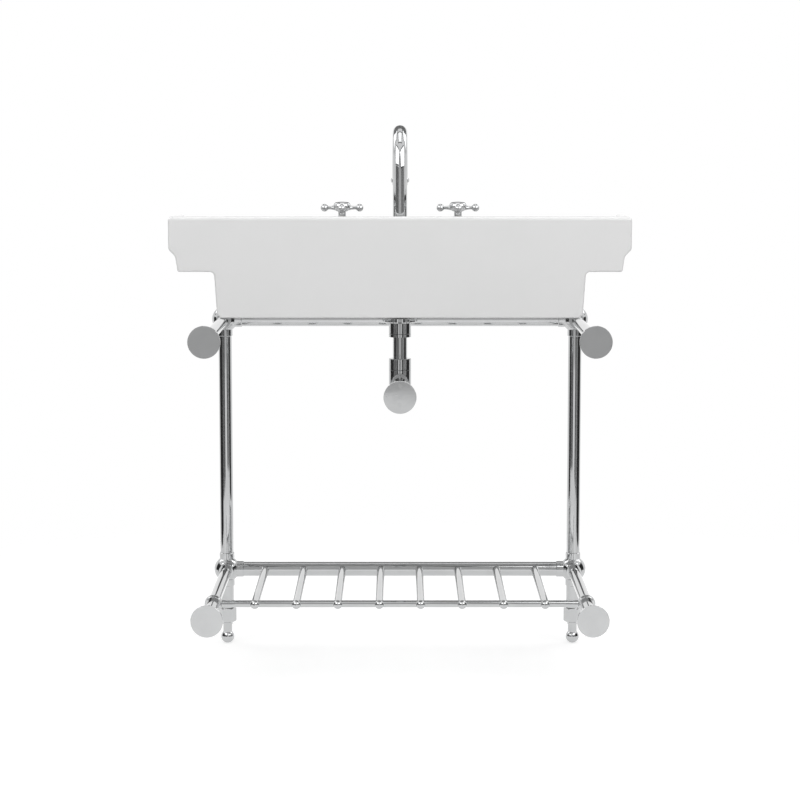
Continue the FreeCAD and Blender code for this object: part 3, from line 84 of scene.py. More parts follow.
def share_property(name, description, default):
    """A value between 0 and 1 that the user can change."""
    return FloatProperty(name=name, description=description, default=default,
                         min=0.0, max=1.0, subtype="FACTOR")


def length_property(name, description, default):
    """A length in metres that the user can change."""
    return FloatProperty(name=name, description=description, default=default,
                         min=0.0, precision=5, unit="LENGTH", subtype="DISTANCE")


class WashstandFinishes(bpy.types.PropertyGroup):
    """Colours and polish of the washstand's materials."""

    glaze: colour_property(
        "Glaze", "Colour of the basin's glaze", (0.80, 0.80, 0.80))
    glaze_pool: colour_property(
        "Pooled glaze", "Colour where the glaze lies thick", (0.775, 0.778, 0.775))
    chrome: colour_property(
        "Chrome", "Colour of the plated tubes and fittings", (0.55, 0.556, 0.56))
    brass: colour_property(
        "Brass", "Colour of the bare brass under the deck", (0.66, 0.47, 0.21))
    rubber: colour_property(
        "Rubber", "Colour of the pads and seals", (0.022, 0.022, 0.024))


class WashstandDetails(bpy.types.PropertyGroup):
    """Sizes of the small pieces that are modelled here."""

    thread_depth: length_property(
        "Thread depth", "How far a thread stands off its bar", 0.0006)
    inlet_pitch: length_property(
        "Inlet pitch", "Rise of the inlet tails' thread in one turn", 0.001814)
    shank_pitch: length_property(
        "Shank pitch", "Rise of the shanks' thread in one turn", 0.002)
    shank_radius: length_property(
        "Shank radius", "Radius of the shanks under the deck", 0.013)
    nut_chamfer: length_property(
        "Nut chamfer", "How far the chamfer of a backnut runs in from its corners", 0.0022)
    outlet_bore: length_property(
        "Outlet bore", "Radius of the opening in the spout's outlet", 0.009)
    outlet_cells: IntProperty(
        name="Outlet cells", description="Cells across the jet straightener in the outlet",
        default=9, min=3, max=25)


class WashstandStudio(bpy.types.PropertyGroup):
    """The floor, the lamps and the camera."""

    floor: colour_property(
        "Floor", "Colour of the studio floor", (0.60, 0.60, 0.60))
    floor_lift: share_property(
        "Floor lift", "How much paler the floor looks, to the eye and in the metal", 0.56)
    floor_reach: length_property(
        "Floor reach", "Distance at which the floor starts to fade", 0.95)
    cards: colour_property(
        "Cards", "Colour of the card behind the camera", (0.78, 0.78, 0.78))
    focal_length: FloatProperty(
        name="Focal length", description="Lens of the camera, on a 36 mm sensor",
        default=103.53, min=10.0, unit="CAMERA")
    camera_distance: length_property(
        "Camera distance", "From the wall plane to the camera", 3.97)
    camera_height: length_property(
        "Camera height", "From the floor to the camera", 1.0148)
    camera_tilt: FloatProperty(
        name="Camera tilt", description="Downward tilt of the camera",
        default=math.radians(6.827), subtype="ANGLE", unit="ROTATION")


# ---------------------------------------------------------------- node helpers
def add_node(tree, kind, place, **inputs):
    """A node with its inputs set by name. Spaces are written as underscores."""
    node = tree.nodes.new(kind)
    node.location = place
    for name, value in inputs.items():
        node.inputs[name.replace("_", " ")].default_value = value
    return node


def new_group(name, inputs, outputs):
    """An empty shader group with named value, colour or vector sockets."""
    tree = bpy.data.node_groups.new(name, "ShaderNodeTree")
    for socket, kind, default in inputs:
        made = tree.interface.new_socket(socket, in_out="INPUT", socket_type=kind)
        made.default_value = default
    for socket, kind in outputs:
        tree.interface.new_socket(socket, in_out="OUTPUT", socket_type=kind)
    entry = tree.nodes.new("NodeGroupInput")
    entry.location = (-900, 0)
    leave = tree.nodes.new("NodeGroupOutput")
    leave.location = (900, 0)
    return tree, entry, leave


def use_group(tree, name, place, **inputs):
    """A node that uses one of the shared groups, with its own values."""
    node = tree.nodes.new("ShaderNodeGroup")
    node.node_tree = bpy.data.node_groups[name]
    node.location = place
    for socket, value in inputs.items():
        node.inputs[socket.replace("_", " ")].default_value = value
    return node


def math_node(tree, place, operation, first=None, second=None):
    """A math node. Each input is a socket to link, a number, or None."""
    node = tree.nodes.new("ShaderNodeMath")
    node.operation = operation
    node.location = place
    for index, value in enumerate((first, second)):
        if isinstance(value, (int, float)):
            node.inputs[index].default_value = value
        elif value is not None:
            tree.links.new(value, node.inputs[index])
    return node.outputs["Value"]


def cloudy_group():
    """Slow clouds over the surface, read as a value between Low and High."""
    tree, entry, leave = new_group(
        "Clouds",
        [("Vector", "NodeSocketVector", (0, 0, 0)), ("Scale", "NodeSocketFloat", 8.0),
         ("Low", "NodeSocketFloat", 0.0), ("High", "NodeSocketFloat", 1.0)],
        [("Value", "NodeSocketFloat")])
    noise = add_node(tree, "ShaderNodeTexNoise", (-600, 0), Detail=5.0, Roughness=0.55,
                     Distortion=0.4)
    spread = add_node(tree, "ShaderNodeMapRange", (0, 0), From_Min=0.3, From_Max=0.7)
    spread.interpolation_type = "SMOOTHSTEP"
    tree.links.new(entry.outputs["Vector"], noise.inputs["Vector"])
    tree.links.new(entry.outputs["Scale"], noise.inputs["Scale"])
    tree.links.new(noise.outputs["Fac"], spread.inputs["Value"])
    tree.links.new(entry.outputs["Low"], spread.inputs["To Min"])
    tree.links.new(entry.outputs["High"], spread.inputs["To Max"])
    tree.links.new(spread.outputs["Result"], leave.inputs["Value"])


def hairline_group():
    """Fine crossing wipe marks, as a height."""
    tree, entry, leave = new_group(
        "Hairlines",
        [("Vector", "NodeSocketVector", (0, 0, 0)), ("Scale", "NodeSocketFloat", 300.0)],
        [("Height", "NodeSocketFloat")])
    heights = []
    for row, stretch in enumerate(((1.0, 0.04, 1.0), (0.05, 1.0, 0.9))):
        squeeze = add_node(tree, "ShaderNodeMapping", (-600, -300 * row), Scale=stretch,
                           Rotation=(0.3 * row, 0.2, 0.6 * row))
        noise = add_node(tree, "ShaderNodeTexNoise", (-300, -300 * row), Detail=3.0,
                         Roughness=0.6)
        line = add_node(tree, "ShaderNodeMapRange", (0, -300 * row), From_Min=0.62,
                        From_Max=0.74)
        tree.links.new(entry.outputs["Vector"], squeeze.inputs["Vector"])
        tree.links.new(squeeze.outputs["Vector"], noise.inputs["Vector"])
        tree.links.new(entry.outputs["Scale"], noise.inputs["Scale"])
        tree.links.new(noise.outputs["Fac"], line.inputs["Value"])
        heights.append(line.outputs["Result"])
    joined = tree.nodes.new("ShaderNodeMath")
    joined.operation = "MAXIMUM"
    joined.location = (400, 0)
    tree.links.new(heights[0], joined.inputs[0])
    tree.links.new(heights[1], joined.inputs[1])
    tree.links.new(joined.outputs["Value"], leave.inputs["Height"])


def drops_group():
    """Faint dried drops, as a mask of soft spots."""
    tree, entry, leave = new_group(
        "Dried drops",
        [("Vector", "NodeSocketVector", (0, 0, 0)), ("Scale", "NodeSocketFloat", 60.0)],
        [("Mask", "NodeSocketFloat")])
    cells = add_node(tree, "ShaderNodeTexVoronoi", (-600, 0), Randomness=1.0)
    rim = tree.nodes.new("ShaderNodeValToRGB")
    rim.location = (-200, 0)
    rim.color_ramp.elements[0].position = 0.10
    rim.color_ramp.elements[0].color = (0.35, 0.35, 0.35, 1)
    rim.color_ramp.elements[1].position = 0.22
    rim.color_ramp.elements[1].color = (0, 0, 0, 1)
    edge = rim.color_ramp.elements.new(0.18)
    edge.color = (1, 1, 1, 1)
    tree.links.new(entry.outputs["Vector"], cells.inputs["Vector"])
    tree.links.new(entry.outputs["Scale"], cells.inputs["Scale"])
    tree.links.new(cells.outputs["Distance"], rim.inputs["Fac"])
    tree.links.new(rim.outputs["Color"], leave.inputs["Mask"])


def new_material(name):
    """A node material with its shader, its output and the object's own coordinates."""
    material = bpy.data.materials.new(name)
    material.use_nodes = True
    tree = material.node_tree
    shader = tree.nodes["Principled BSDF"]
    place = tree.nodes.new("ShaderNodeTexCoord")
    place.location = (-1400, 0)
    return material, tree, shader, place.outputs["Object"]


def mix_values(tree, place, share, low, high):
    """A value that runs from low to high with share."""
    node = add_node(tree, "ShaderNodeMapRange", place, To_Min=low, To_Max=high)
    tree.links.new(share, node.inputs["Value"])
    return node.outputs["Result"]


def mix_colours(tree, place, share, first, second):
    """A colour that runs from first to second with share."""
    node = tree.nodes.new("ShaderNodeMix")
    node.data_type = "RGBA"
    node.location = place
    node.inputs[6].default_value = (*first, 1)
    node.inputs[7].default_value = (*second, 1)
    tree.links.new(share, node.inputs[0])
    return node.outputs[2]


def shaded(colour, factor):
    """The colour, lighter or darker by factor."""
    return tuple(min(1.0, channel * factor) for channel in colour)


def bump(tree, place, height, strength, distance):
    """A bump node fed by height."""
    node = add_node(tree, "ShaderNodeBump", place, Strength=strength, Distance=distance)
    tree.links.new(height, node.inputs["Height"])
    return node.outputs["Normal"]


# ---------------------------------------------------------------- materials
def glazed_ceramic(finishes):
    """Thick white glaze: slow pooling, a slight orange peel and a hard clear gloss."""
    material, tree, shader, place = new_material("glazed_ceramic")
    pool = use_group(tree, "Clouds", (-1000, 200), Scale=3.5)
    tree.links.new(place, pool.inputs["Vector"])
    colour = mix_colours(tree, (-500, 300), pool.outputs["Value"], finishes.glaze,
                         finishes.glaze_pool)
    tree.links.new(colour, shader.inputs["Base Color"])
    polish = use_group(tree, "Clouds", (-1000, 0), Scale=14.0, Low=0.07, High=0.13)
    tree.links.new(place, polish.inputs["Vector"])
    tree.links.new(polish.outputs["Value"], shader.inputs["Roughness"])
    peel = use_group(tree, "Clouds", (-1000, -250), Scale=90.0)
    tree.links.new(place, peel.inputs["Vector"])
    tree.links.new(bump(tree, (-500, -250), peel.outputs["Value"], 0.05, 0.0004),
                   shader.inputs["Normal"])
    shader.inputs["IOR"].default_value = 1.52
    shader.inputs["Coat Weight"].default_value = 0.6
    shader.inputs["Coat Roughness"].default_value = 0.03
    return material


def plated(name, colour, low, high, peel_strength):
    """Bright plating: clouds in the polish, dried drops and hairline wipe marks."""
    material, tree, shader, place = new_material(name)
    haze = use_group(tree, "Clouds", (-1000, 200), Scale=22.0)
    drops = use_group(tree, "Dried drops", (-1000, 0), Scale=55.0)
    lines = use_group(tree, "Hairlines", (-1000, -250), Scale=420.0)
    for node in (haze, drops, lines):
        tree.links.new(place, node.inputs["Vector"])
    tint = mix_colours(tree, (-500, 300), haze.outputs["Value"], colour, shaded(colour, 0.95))
    tree.links.new(tint, shader.inputs["Base Color"])
    haze_share = mix_values(tree, (-700, 80), haze.outputs["Value"], low, high)
    marks = tree.nodes.new("ShaderNodeMath")
    marks.operation = "MULTIPLY_ADD"
    marks.location = (-450, 60)
    marks.inputs[1].default_value = 0.035
    tree.links.new(drops.outputs["Mask"], marks.inputs[0])
    tree.links.new(haze_share, marks.inputs[2])
    tree.links.new(marks.outputs["Value"], shader.inputs["Roughness"])
    tree.links.new(bump(tree, (-500, -250), lines.outputs["Height"], peel_strength, 0.00005),
                   shader.inputs["Normal"])
    shader.inputs["Metallic"].default_value = 1.0
    return material


def bare_brass(finishes):
    """Unplated brass under the deck: dull patches, darker where it has tarnished."""
    material, tree, shader, place = new_material("brass")
    patch = use_group(tree, "Clouds", (-1000, 200), Scale=45.0)
    grain = use_group(tree, "Hairlines", (-1000, -200), Scale=700.0)
    for node in (patch, grain):
        tree.links.new(place, node.inputs["Vector"])
    tree.links.new(mix_colours(tree, (-500, 300), patch.outputs["Value"], finishes.brass,
                               shaded(finishes.brass, 0.62)), shader.inputs["Base Color"])
    tree.links.new(mix_values(tree, (-500, 60), patch.outputs["Value"], 0.24, 0.46),
                   shader.inputs["Roughness"])
    tree.links.new(bump(tree, (-500, -200), grain.outputs["Height"], 0.3, 0.0001),
                   shader.inputs["Normal"])
    shader.inputs["Metallic"].default_value = 1.0
    return material


def moulded_rubber(finishes):
    """Black moulded rubber with a dusty bloom and a fine grain."""
    material, tree, shader, place = new_material("rubber")
    bloom = use_group(tree, "Clouds", (-1000, 200), Scale=30.0)
    grain = use_group(tree, "Clouds", (-1000, -200), Scale=1500.0)
    for node in (bloom, grain):
        tree.links.new(place, node.inputs["Vector"])
    tree.links.new(mix_colours(tree, (-500, 300), bloom.outputs["Value"], finishes.rubber,
                               (0.06, 0.06, 0.06)), shader.inputs["Base Color"])
    tree.links.new(mix_values(tree, (-500, 60), bloom.outputs["Value"], 0.55, 0.78),
                   shader.inputs["Roughness"])
    tree.links.new(bump(tree, (-500, -200), grain.outputs["Value"], 0.3, 0.0001),
                   shader.inputs["Normal"])
    return material


def dress(name, material):
    """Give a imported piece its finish, leaving its shape alone."""
    mesh = frame["nodes"][name].data
    mesh.materials.clear()
    mesh.materials.append(material)


# ---------------------------------------------------------------- modelling helpers
def only(piece):
    """Select this piece alone and make it the active one."""
    bpy.ops.object.select_all(action="DESELECT")
    piece.select_set(True)
    bpy.context.view_layer.objects.active = piece


def axis_of(node):
    """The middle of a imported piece, seen from above."""
    low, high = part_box(node)
    return Vector(((low.x + high.x) / 2, (low.y + high.y) / 2, 0))


def mount_named(name):
    """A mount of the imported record."""
    return next(mount for mount in frame["record"]["mounts"] if mount["name"] == name)


def select_vertices(piece, test):
    """In edit mode, select the vertices whose place in the piece passes the test."""
    bpy.ops.mesh.select_all(action="DESELECT")
    bpy.ops.mesh.select_mode(type="VERT")
    mesh = bmesh.from_edit_mesh(piece.data)
    for vertex in mesh.verts:
        vertex.select = test(vertex.co)
    mesh.select_flush(True)
    bmesh.update_edit_mesh(piece.data)


def apply_modifier(piece, kind, **settings):
    """Add a modifier with these settings and apply it at once."""
    only(piece)
    bpy.ops.object.modifier_add(type=kind)
    modifier = piece.modifiers[-1]
    for name, value in settings.items():
        setattr(modifier, name, value)
    bpy.ops.object.modifier_apply(modifier=modifier.name)


def carve(piece, cutter, operation):
    """Cut a piece with another, or trim it to the other, which is then thrown away."""
    apply_modifier(piece, "BOOLEAN", object=cutter, operation=operation, solver="EXACT")
    bpy.data.objects.remove(cutter)


def finish_piece(piece, name, body, material_slot, sharp_degrees=30.0):
    """Name a new piece, put its place in its mesh, and give it its body and its finish."""
    only(piece)
    piece.name = name
    piece.data.name = name
    bpy.ops.object.transform_apply(location=True, rotation=True, scale=True)
    bpy.ops.object.shade_smooth_by_angle(angle=math.radians(sharp_degrees))
    piece.data.materials.clear()
    piece.data.materials.append(bpy.data.materials[material_slot])
    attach(piece, body)


def shifted_copy(piece, shift):
    """Another of the same piece with its own mesh, moved by shift."""
    only(piece)
    bpy.ops.object.duplicate()
    twin = bpy.context.object
    bpy.ops.transform.translate(value=shift)
    return twin


def helical_thread(axis, radius, foot, head, pitch, depth):
    """A thread that winds up a bar from foot to head in whole turns, with closed ends."""
    start = Vector((axis.x, axis.y, foot + pitch / 2))
    bpy.ops.object.select_all(action="DESELECT")
    bpy.ops.mesh.primitive_plane_add(size=1.0, location=start, enter_editmode=True)
    piece = bpy.context.object
    bpy.ops.transform.resize(value=(2 * depth, 0.84 * pitch, 1.0), center_override=start)
    bpy.ops.transform.rotate(value=math.radians(90), orient_axis="X", center_override=start)
    bpy.ops.transform.translate(value=(radius, 0, 0))
    select_vertices(piece, lambda place: place.x > radius)
    bpy.ops.transform.resize(value=(1.0, 1.0, 0.2), center_override=start)
    bpy.ops.mesh.select_all(action="SELECT")
    bpy.ops.mesh.delete(type="ONLY_FACE")
    bpy.ops.object.mode_set(mode="OBJECT")
    turns = int((head - foot) / pitch) - 1
    apply_modifier(piece, "SCREW", axis="Z", angle=math.radians(360), screw_offset=pitch,
                   iterations=turns, steps=THREAD_STEPS, render_steps=THREAD_STEPS)
    bpy.ops.object.mode_set(mode="EDIT")
    bpy.ops.mesh.select_all(action="SELECT")
    bpy.ops.mesh.fill_holes(sides=4)
    bpy.ops.mesh.normals_make_consistent(inside=False)
    bpy.ops.object.mode_set(mode="OBJECT")
    return piece


def solid_round(middle, radius, height):
    """A plain round to cut or trim with."""
    bpy.ops.object.select_all(action="DESELECT")
    bpy.ops.mesh.primitive_cylinder_add(vertices=ROUND_STEPS, radius=radius, depth=height,
                                        location=middle)
    return bpy.context.object


def chamfered_hexagon(middle, corner_radius, height, chamfer):
    """A hexagonal bar whose two ends are turned to a chamfer."""
    bpy.ops.object.select_all(action="DESELECT")
    bpy.ops.mesh.primitive_cylinder_add(vertices=6, radius=corner_radius, depth=height,
                                        location=middle)
    piece = bpy.context.object
    turned = solid_round(middle, corner_radius, height)
    bpy.ops.object.mode_set(mode="EDIT")
    for end in (1, -1):
        select_vertices(turned, lambda place: place.z * end > 0)
        bpy.ops.mesh.inset(thickness=chamfer)
        select_vertices(turned, lambda place: place.z * end > 0
                        and place.xy.length > corner_radius - chamfer / 2)
        drop = chamfer * math.tan(NUT_CHAMFER_SLOPE)
        bpy.ops.transform.translate(value=(0, 0, -end * drop))
    bpy.ops.object.mode_set(mode="OBJECT")
    carve(piece, turned, "INTERSECT")
    return piece


# ---------------------------------------------------------------- studio helpers
def looked_at(tree):
    """1 for what the camera sees, directly, in a mirror or through glass, and otherwise 0."""
    rays = tree.nodes.new("ShaderNodeLightPath")
    rays.location = (-900, -600)
    seen = math_node(tree, (-700, -600), "MAXIMUM", rays.outputs["Is Camera Ray"],
                     rays.outputs["Is Glossy Ray"])
    return math_node(tree, (-500, -600), "MAXIMUM", seen, rays.outputs["Is Transmission Ray"])


def floor_material(studio):
    """A pale floor that keeps its shadow, reads white and fades out far away."""
    material, tree, shader, place = new_material("studio_floor")
    speck = use_group(tree, "Clouds", (-1000, 200), Scale=40.0)
    tree.links.new(place, speck.inputs["Vector"])
    tree.links.new(mix_colours(tree, (-500, 300), speck.outputs["Value"], studio.floor,
                               shaded(studio.floor, 0.995)), shader.inputs["Base Color"])
    shader.inputs["Roughness"].default_value = 0.7
    shader.inputs["Specular IOR Level"].default_value = 0.2
    glow = tree.nodes.new("ShaderNodeEmission")
    tree.links.new(math_node(tree, (-250, -400), "MULTIPLY", looked_at(tree),
                             studio.floor_lift), glow.inputs["Strength"])
    both = tree.nodes.new("ShaderNodeAddShader")
    tree.links.new(shader.outputs["BSDF"], both.inputs[0])
    tree.links.new(glow.outputs["Emission"], both.inputs[1])
    reach = tree.nodes.new("ShaderNodeVectorMath")
    reach.operation = "LENGTH"
    tree.links.new(place, reach.inputs[0])
    fade = add_node(tree, "ShaderNodeMapRange", (-300, -600), From_Min=studio.floor_reach,
                    From_Max=studio.floor_reach * 1.8)
    fade.interpolation_type = "SMOOTHERSTEP"
    tree.links.new(reach.outputs["Value"], fade.inputs["Value"])
    clear = tree.nodes.new("ShaderNodeBsdfTransparent")
    choose = tree.nodes.new("ShaderNodeMixShader")
    tree.links.new(fade.outputs["Result"], choose.inputs["Fac"])
    tree.links.new(both.outputs["Shader"], choose.inputs[1])
    tree.links.new(clear.outputs["BSDF"], choose.inputs[2])
    tree.links.new(choose.outputs["Shader"], tree.nodes["Material Output"].inputs["Surface"])
    return material


def card_material(name, colour):
    """Matt painted board, a little cloudy."""
    material, tree, shader, place = new_material(name)
    paint = use_group(tree, "Clouds", (-1000, 200), Scale=2.0)
    tree.links.new(place, paint.inputs["Vector"])
    tree.links.new(mix_colours(tree, (-500, 300), paint.outputs["Value"], colour,
                               shaded(colour, 0.92)), shader.inputs["Base Color"])
    shader.inputs["Roughness"].default_value = 0.9
    shader.inputs["Specular IOR Level"].default_value = 0.1
    return material


def spot_round(turn, lift, distance, height=STUDIO_MIDDLE):
    """A place round the washstand. turn is in degrees from the wall's side towards +X."""
    turn, lift = math.radians(turn), math.radians(lift)
    return Vector((0, 0, height)) + distance * Vector((
        math.sin(turn) * math.cos(lift), math.cos(turn) * math.cos(lift), math.sin(lift)))


def stand_board(name, place, facing, size, material):
    """A board of the studio that faces a point. Only the camera looks through it."""
    bpy.ops.object.select_all(action="DESELECT")
    bpy.ops.mesh.primitive_plane_add(size=1.0, location=place)
    board = bpy.context.object
    board.name = name
    board.rotation_euler = (facing - place).to_track_quat("-Z", "Y").to_euler()
    board.scale = (size[0], size[1], 1.0)
    board.data.materials.append(material)
    board.visible_camera = False
    return board


def add_card(name, turn, distance, size, material):
    """A card that stands on the floor, faces the washstand and shows as grey in its metal."""
    place = spot_round(turn, 0, distance, size[1] / 2)
    stand_board(name, place, Vector((0, 0, size[1] / 2)), size, material)


def add_softbox(name, turn, lift, distance, size, glow, rim):
    """A flat lamp aimed at the washstand, with a dark rim round it."""
    place = spot_round(turn, lift, distance)
    middle = spot_round(0, 0, 0)
    bpy.ops.object.light_add(type="AREA", location=place)
    lamp = bpy.context.object
    lamp.name = name
    lamp.rotation_euler = (middle - place).to_track_quat("-Z", "Y").to_euler()
    lamp.data.shape = "RECTANGLE"
    lamp.data.size, lamp.data.size_y = size
    lamp.data.energy = glow * math.pi * size[0] * size[1]
    lamp.visible_camera = False
    outer = (size[0] + 2 * RIM_WIDTH, size[1] + 2 * RIM_WIDTH)
    frame_piece = stand_board(name + "_rim", place, middle, outer, rim)
    only(frame_piece)
    bpy.ops.object.transform_apply(location=False, rotation=False, scale=True)
    bpy.ops.object.mode_set(mode="EDIT")
    bpy.ops.mesh.select_all(action="SELECT")
    bpy.ops.mesh.inset(thickness=RIM_WIDTH)
    bpy.ops.mesh.delete(type="FACE")
    bpy.ops.object.mode_set(mode="OBJECT")


def studio_world(scene):
    """A soft even fill that looks white wherever the eye meets it, also in metal."""
    world = bpy.data.worlds.new("studio")
    scene.world = world
    world.use_nodes = True
    tree = world.node_tree
    tree.nodes.clear()
    fill = add_node(tree, "ShaderNodeBackground", (0, 0),
                    Color=(WORLD_FILL, WORLD_FILL, WORLD_FILL, 1))
    white = add_node(tree, "ShaderNodeBackground", (0, -200), Color=(1, 1, 1, 1))
    choose = tree.nodes.new("ShaderNodeMixShader")
    leave = tree.nodes.new("ShaderNodeOutputWorld")
    tree.links.new(looked_at(tree), choose.inputs["Fac"])
    tree.links.new(fill.outputs["Background"], choose.inputs[1])
    tree.links.new(white.outputs["Background"], choose.inputs[2])
    tree.links.new(choose.outputs["Shader"], leave.inputs["Surface"])


def wall_plane():
    """Where the wall stands, at the back of the basin."""
    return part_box("basin")[1].y


# ---------------------------------------------------------------- operators
class WASHSTAND_OT_finishes(bpy.types.Operator):
    """Make the shared effects and the materials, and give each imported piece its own"""

    bl_idname = "washstand.finishes"
    bl_label = "Finishes"

    def execute(self, context):
        finishes = context.scene.washstand_finishes
        cloudy_group()
        hairline_group()
        drops_group()
        made = {"glazed_ceramic": glazed_ceramic(finishes),
                "chrome": plated("chrome", finishes.chrome, 0.03, 0.07, 0.06),
                "brass": bare_brass(finishes),
                "rubber": moulded_rubber(finishes)}
        for part in frame["record"]["subparts"]:
            dress(part["node"], made[part["material_slot"]])
        return {"FINISHED"}


class WASHSTAND_OT_threads(bpy.types.Operator):
    """Wind the threads of the tap shanks and of the inlet tails under the deck"""

    bl_idname = "washstand.threads"
    bl_label = "Threads"

    def execute(self, context):
        details = context.scene.washstand_details
        nut_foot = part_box("deck_backnuts")[0].z
        for tap in ("hot", "cold"):
            mount = mount_named(tap + "_inlet")
            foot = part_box(tap + "_valve_body")[0].z
            top = mount["pos_m"][2] + mount["dims"]["length_mm"] / 1000
            inlet = helical_thread(axis_of(tap + "_valve_body"), mount["dims"]["r_mm"] / 1000,
                                   foot, min(top, foot + INLET_LENGTH), details.inlet_pitch,
                                   details.thread_depth)
            finish_piece(inlet, tap + "_inlet_thread", "washstand", "brass")
            shank = helical_thread(axis_of(tap + "_valve_body"), details.shank_radius,
                                   foot + INLET_LENGTH + VALVE_HEIGHT, nut_foot,
                                   details.shank_pitch, details.thread_depth)
            finish_piece(shank, tap + "_shank_thread", "washstand", "brass")
        link_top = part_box("link_pipes")[1].z
        shank = helical_thread(axis_of("spout_base"), details.shank_radius,
                               link_top + details.shank_pitch, nut_foot, details.shank_pitch,
                               details.thread_depth)
        finish_piece(shank, "spout_shank_thread", "washstand", "chrome")
        return {"FINISHED"}


class WASHSTAND_OT_backnuts(bpy.types.Operator):
    """Model the hexagonal backnuts that clamp the taps and the spout to the deck"""

    bl_idname = "washstand.backnuts"
    bl_label = "Backnuts"

    def execute(self, context):
        details = context.scene.washstand_details
        low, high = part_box("deck_backnuts")
        middle = axis_of("spout_base")
        middle.z = (low.z + high.z) / 2
        corner_radius = (high.y - low.y) / 2
        nut = chamfered_hexagon(middle, corner_radius, high.z - low.z, details.nut_chamfer)
        bore = solid_round(middle, details.shank_radius + details.thread_depth / 2, high.z)
        carve(nut, bore, "DIFFERENCE")
        places = {"hot": axis_of("hot_valve_body"), "spout": axis_of("spout_base"),
                  "cold": axis_of("cold_valve_body")}
        for name, place in places.items():
            twin = shifted_copy(nut, (place.x - middle.x, 0, 0))
            finish_piece(twin, name + "_backnut", "washstand", "brass", 20.0)
            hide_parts("deck_backnuts")
        bpy.data.objects.remove(nut)
        return {"FINISHED"}


class WASHSTAND_OT_jet(bpy.types.Operator):
    """Model the jet straightener inside the spout's outlet"""

    bl_idname = "washstand.jet"
    bl_label = "Jet straightener"

    def execute(self, context):
        details = context.scene.washstand_details
        low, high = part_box("spout_nozzle")
        middle = Vector(((low.x + high.x) / 2, (low.y + high.y) / 2, low.z + LATTICE_RISE))
        radius = details.outlet_bore - 0.0001
        bpy.ops.object.select_all(action="DESELECT")
        bpy.ops.mesh.primitive_grid_add(
            x_subdivisions=details.outlet_cells, y_subdivisions=details.outlet_cells,
            size=2 * radius, location=middle, enter_editmode=True)
        lattice = bpy.context.object
        bpy.ops.mesh.inset(thickness=LATTICE_WALL, use_individual=True)
        bpy.ops.mesh.delete(type="FACE")
        bpy.ops.object.mode_set(mode="OBJECT")
        apply_modifier(lattice, "SOLIDIFY", thickness=LATTICE_HEIGHT, offset=0.0)
        carve(lattice, solid_round(middle, radius - 0.0006, 0.01), "INTERSECT")
        bpy.ops.object.select_all(action="DESELECT")
        bpy.ops.mesh.primitive_circle_add(vertices=ROUND_STEPS, radius=radius, location=middle,
                                          enter_editmode=True)
        ring = bpy.context.object
        bpy.ops.transform.translate(value=(0, 0, -RING_DROP))
        bpy.ops.mesh.extrude_region_move(TRANSFORM_OT_translate={"value": (0, 0, RING_HEIGHT)})
        bpy.ops.mesh.select_all(action="SELECT")
        bpy.ops.mesh.normals_make_consistent(inside=False)
        bpy.ops.object.mode_set(mode="OBJECT")
        apply_modifier(ring, "SOLIDIFY", thickness=RING_WALL, offset=-1.0)
        apply_modifier(ring, "BEVEL", width=0.0002, segments=2, limit_method="ANGLE")
        finish_piece(ring, "outlet_ring", "spout", "chrome")
        finish_piece(lattice, "outlet_lattice", "spout", "chrome")
        return {"FINISHED"}


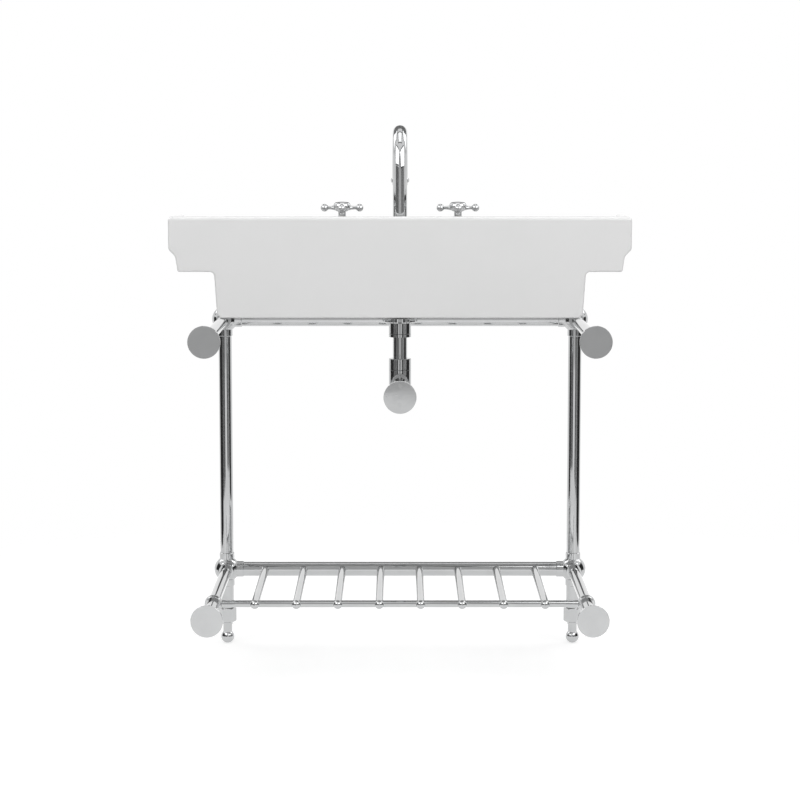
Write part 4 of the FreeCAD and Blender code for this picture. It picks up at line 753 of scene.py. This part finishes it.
class WASHSTAND_OT_studio(bpy.types.Operator):
    """Lay the floor, hang the lamps and place the camera"""

    bl_idname = "washstand.studio"
    bl_label = "Studio"

    def execute(self, context):
        scene = context.scene
        studio = scene.washstand_studio
        scene.view_settings.view_transform = "Standard"
        bpy.ops.object.select_all(action="DESELECT")
        bpy.ops.mesh.primitive_circle_add(vertices=ROUND_STEPS, radius=FLOOR_RADIUS,
                                          fill_type="NGON", location=(0, 0, -FLOOR_DROP))
        floor = context.object
        floor.name = "studio_floor"
        floor.data.materials.append(floor_material(studio))
        studio_world(scene)
        bright, pale, grey, dark, black = (
            card_material(name, shaded(studio.cards, share)) for name, share in (
                ("card_bright", 1.0), ("card_pale", 0.6), ("card_grey", 0.36),
                ("card_dark", 0.17), ("card_black", 0.07)))
        add_card("camera_card", 0, 5.0, (2.5, 5.0), bright)
        add_card("left_dark_card", 26, 2.0, (0.5, 1.0), dark)
        add_card("left_grey_card", 50, 1.9, (1.1, 1.1), grey)
        add_card("left_side_card", 90, 1.4, (1.2, 0.85), black)
        add_card("right_dark_card", -26, 2.0, (0.5, 1.0), dark)
        add_card("right_grey_card", -49, 1.9, (1.1, 1.1), pale)
        add_card("right_side_card", -90, 1.4, (1.2, 0.85), black)
        stand_board("back_card", spot_round(180, 40, 2.6), spot_round(0, 0, 0), (3.4, 1.5), grey)
        add_softbox("zenith_softbox", 0, 90, 2.6, (1.4, 1.4), 0.8, black)
        add_softbox("near_left_softbox", 46, 34, 3.0, (2.6, 1.9), 1.6, black)
        add_softbox("near_right_softbox", -42, 31, 3.0, (2.9, 2.3), 1.7, black)
        add_softbox("far_left_softbox", 126, 40, 3.0, (1.5, 1.8), 1.0, black)
        add_softbox("far_right_softbox", -126, 40, 3.0, (1.5, 1.8), 1.3, black)
        bpy.ops.object.camera_add(
            location=(0, wall_plane() + studio.camera_distance, studio.camera_height),
            rotation=(math.radians(90) - studio.camera_tilt, 0, math.radians(180)))
        scene.camera = context.object
        scene.camera.name = "studio_camera"
        scene.camera.data.lens = studio.focal_length
        scene.camera.data.sensor_width = 36.0
        return {"FINISHED"}


class WASHSTAND_PT_panel(bpy.types.Panel):
    """The washstand's settings and its steps"""

    bl_idname = "WASHSTAND_PT_panel"
    bl_label = "Washstand"
    bl_space_type = "VIEW_3D"
    bl_region_type = "UI"
    bl_category = "Washstand"

    def draw(self, context):
        column = self.layout.column()
        for group, kind in SETTINGS:
            settings = getattr(context.scene, group)
            for name in kind.__annotations__:
                column.prop(settings, name)
        for step in STEPS:
            column.operator(step.bl_idname)


STEPS = (WASHSTAND_OT_finishes, WASHSTAND_OT_threads, WASHSTAND_OT_backnuts, WASHSTAND_OT_jet,
         WASHSTAND_OT_studio)
SETTINGS = (("washstand_finishes", WashstandFinishes), ("washstand_details", WashstandDetails),
            ("washstand_studio", WashstandStudio))


def register():
    """Add the settings, the steps and the panel."""
    for name, settings in SETTINGS:
        bpy.utils.register_class(settings)
        setattr(bpy.types.Scene, name, PointerProperty(type=settings))
    for step in STEPS:
        bpy.utils.register_class(step)
    bpy.utils.register_class(WASHSTAND_PT_panel)


def unregister():
    """Take them all away again."""
    bpy.utils.unregister_class(WASHSTAND_PT_panel)
    for step in reversed(STEPS):
        bpy.utils.unregister_class(step)
    for name, settings in reversed(SETTINGS):
        delattr(bpy.types.Scene, name)
        bpy.utils.unregister_class(settings)


def main():
    """Run every step in order."""
    register()
    bpy.ops.washstand.finishes()
    bpy.ops.washstand.threads()
    bpy.ops.washstand.backnuts()
    bpy.ops.washstand.jet()
    bpy.ops.washstand.studio()


if __name__ == "__main__":
    main()
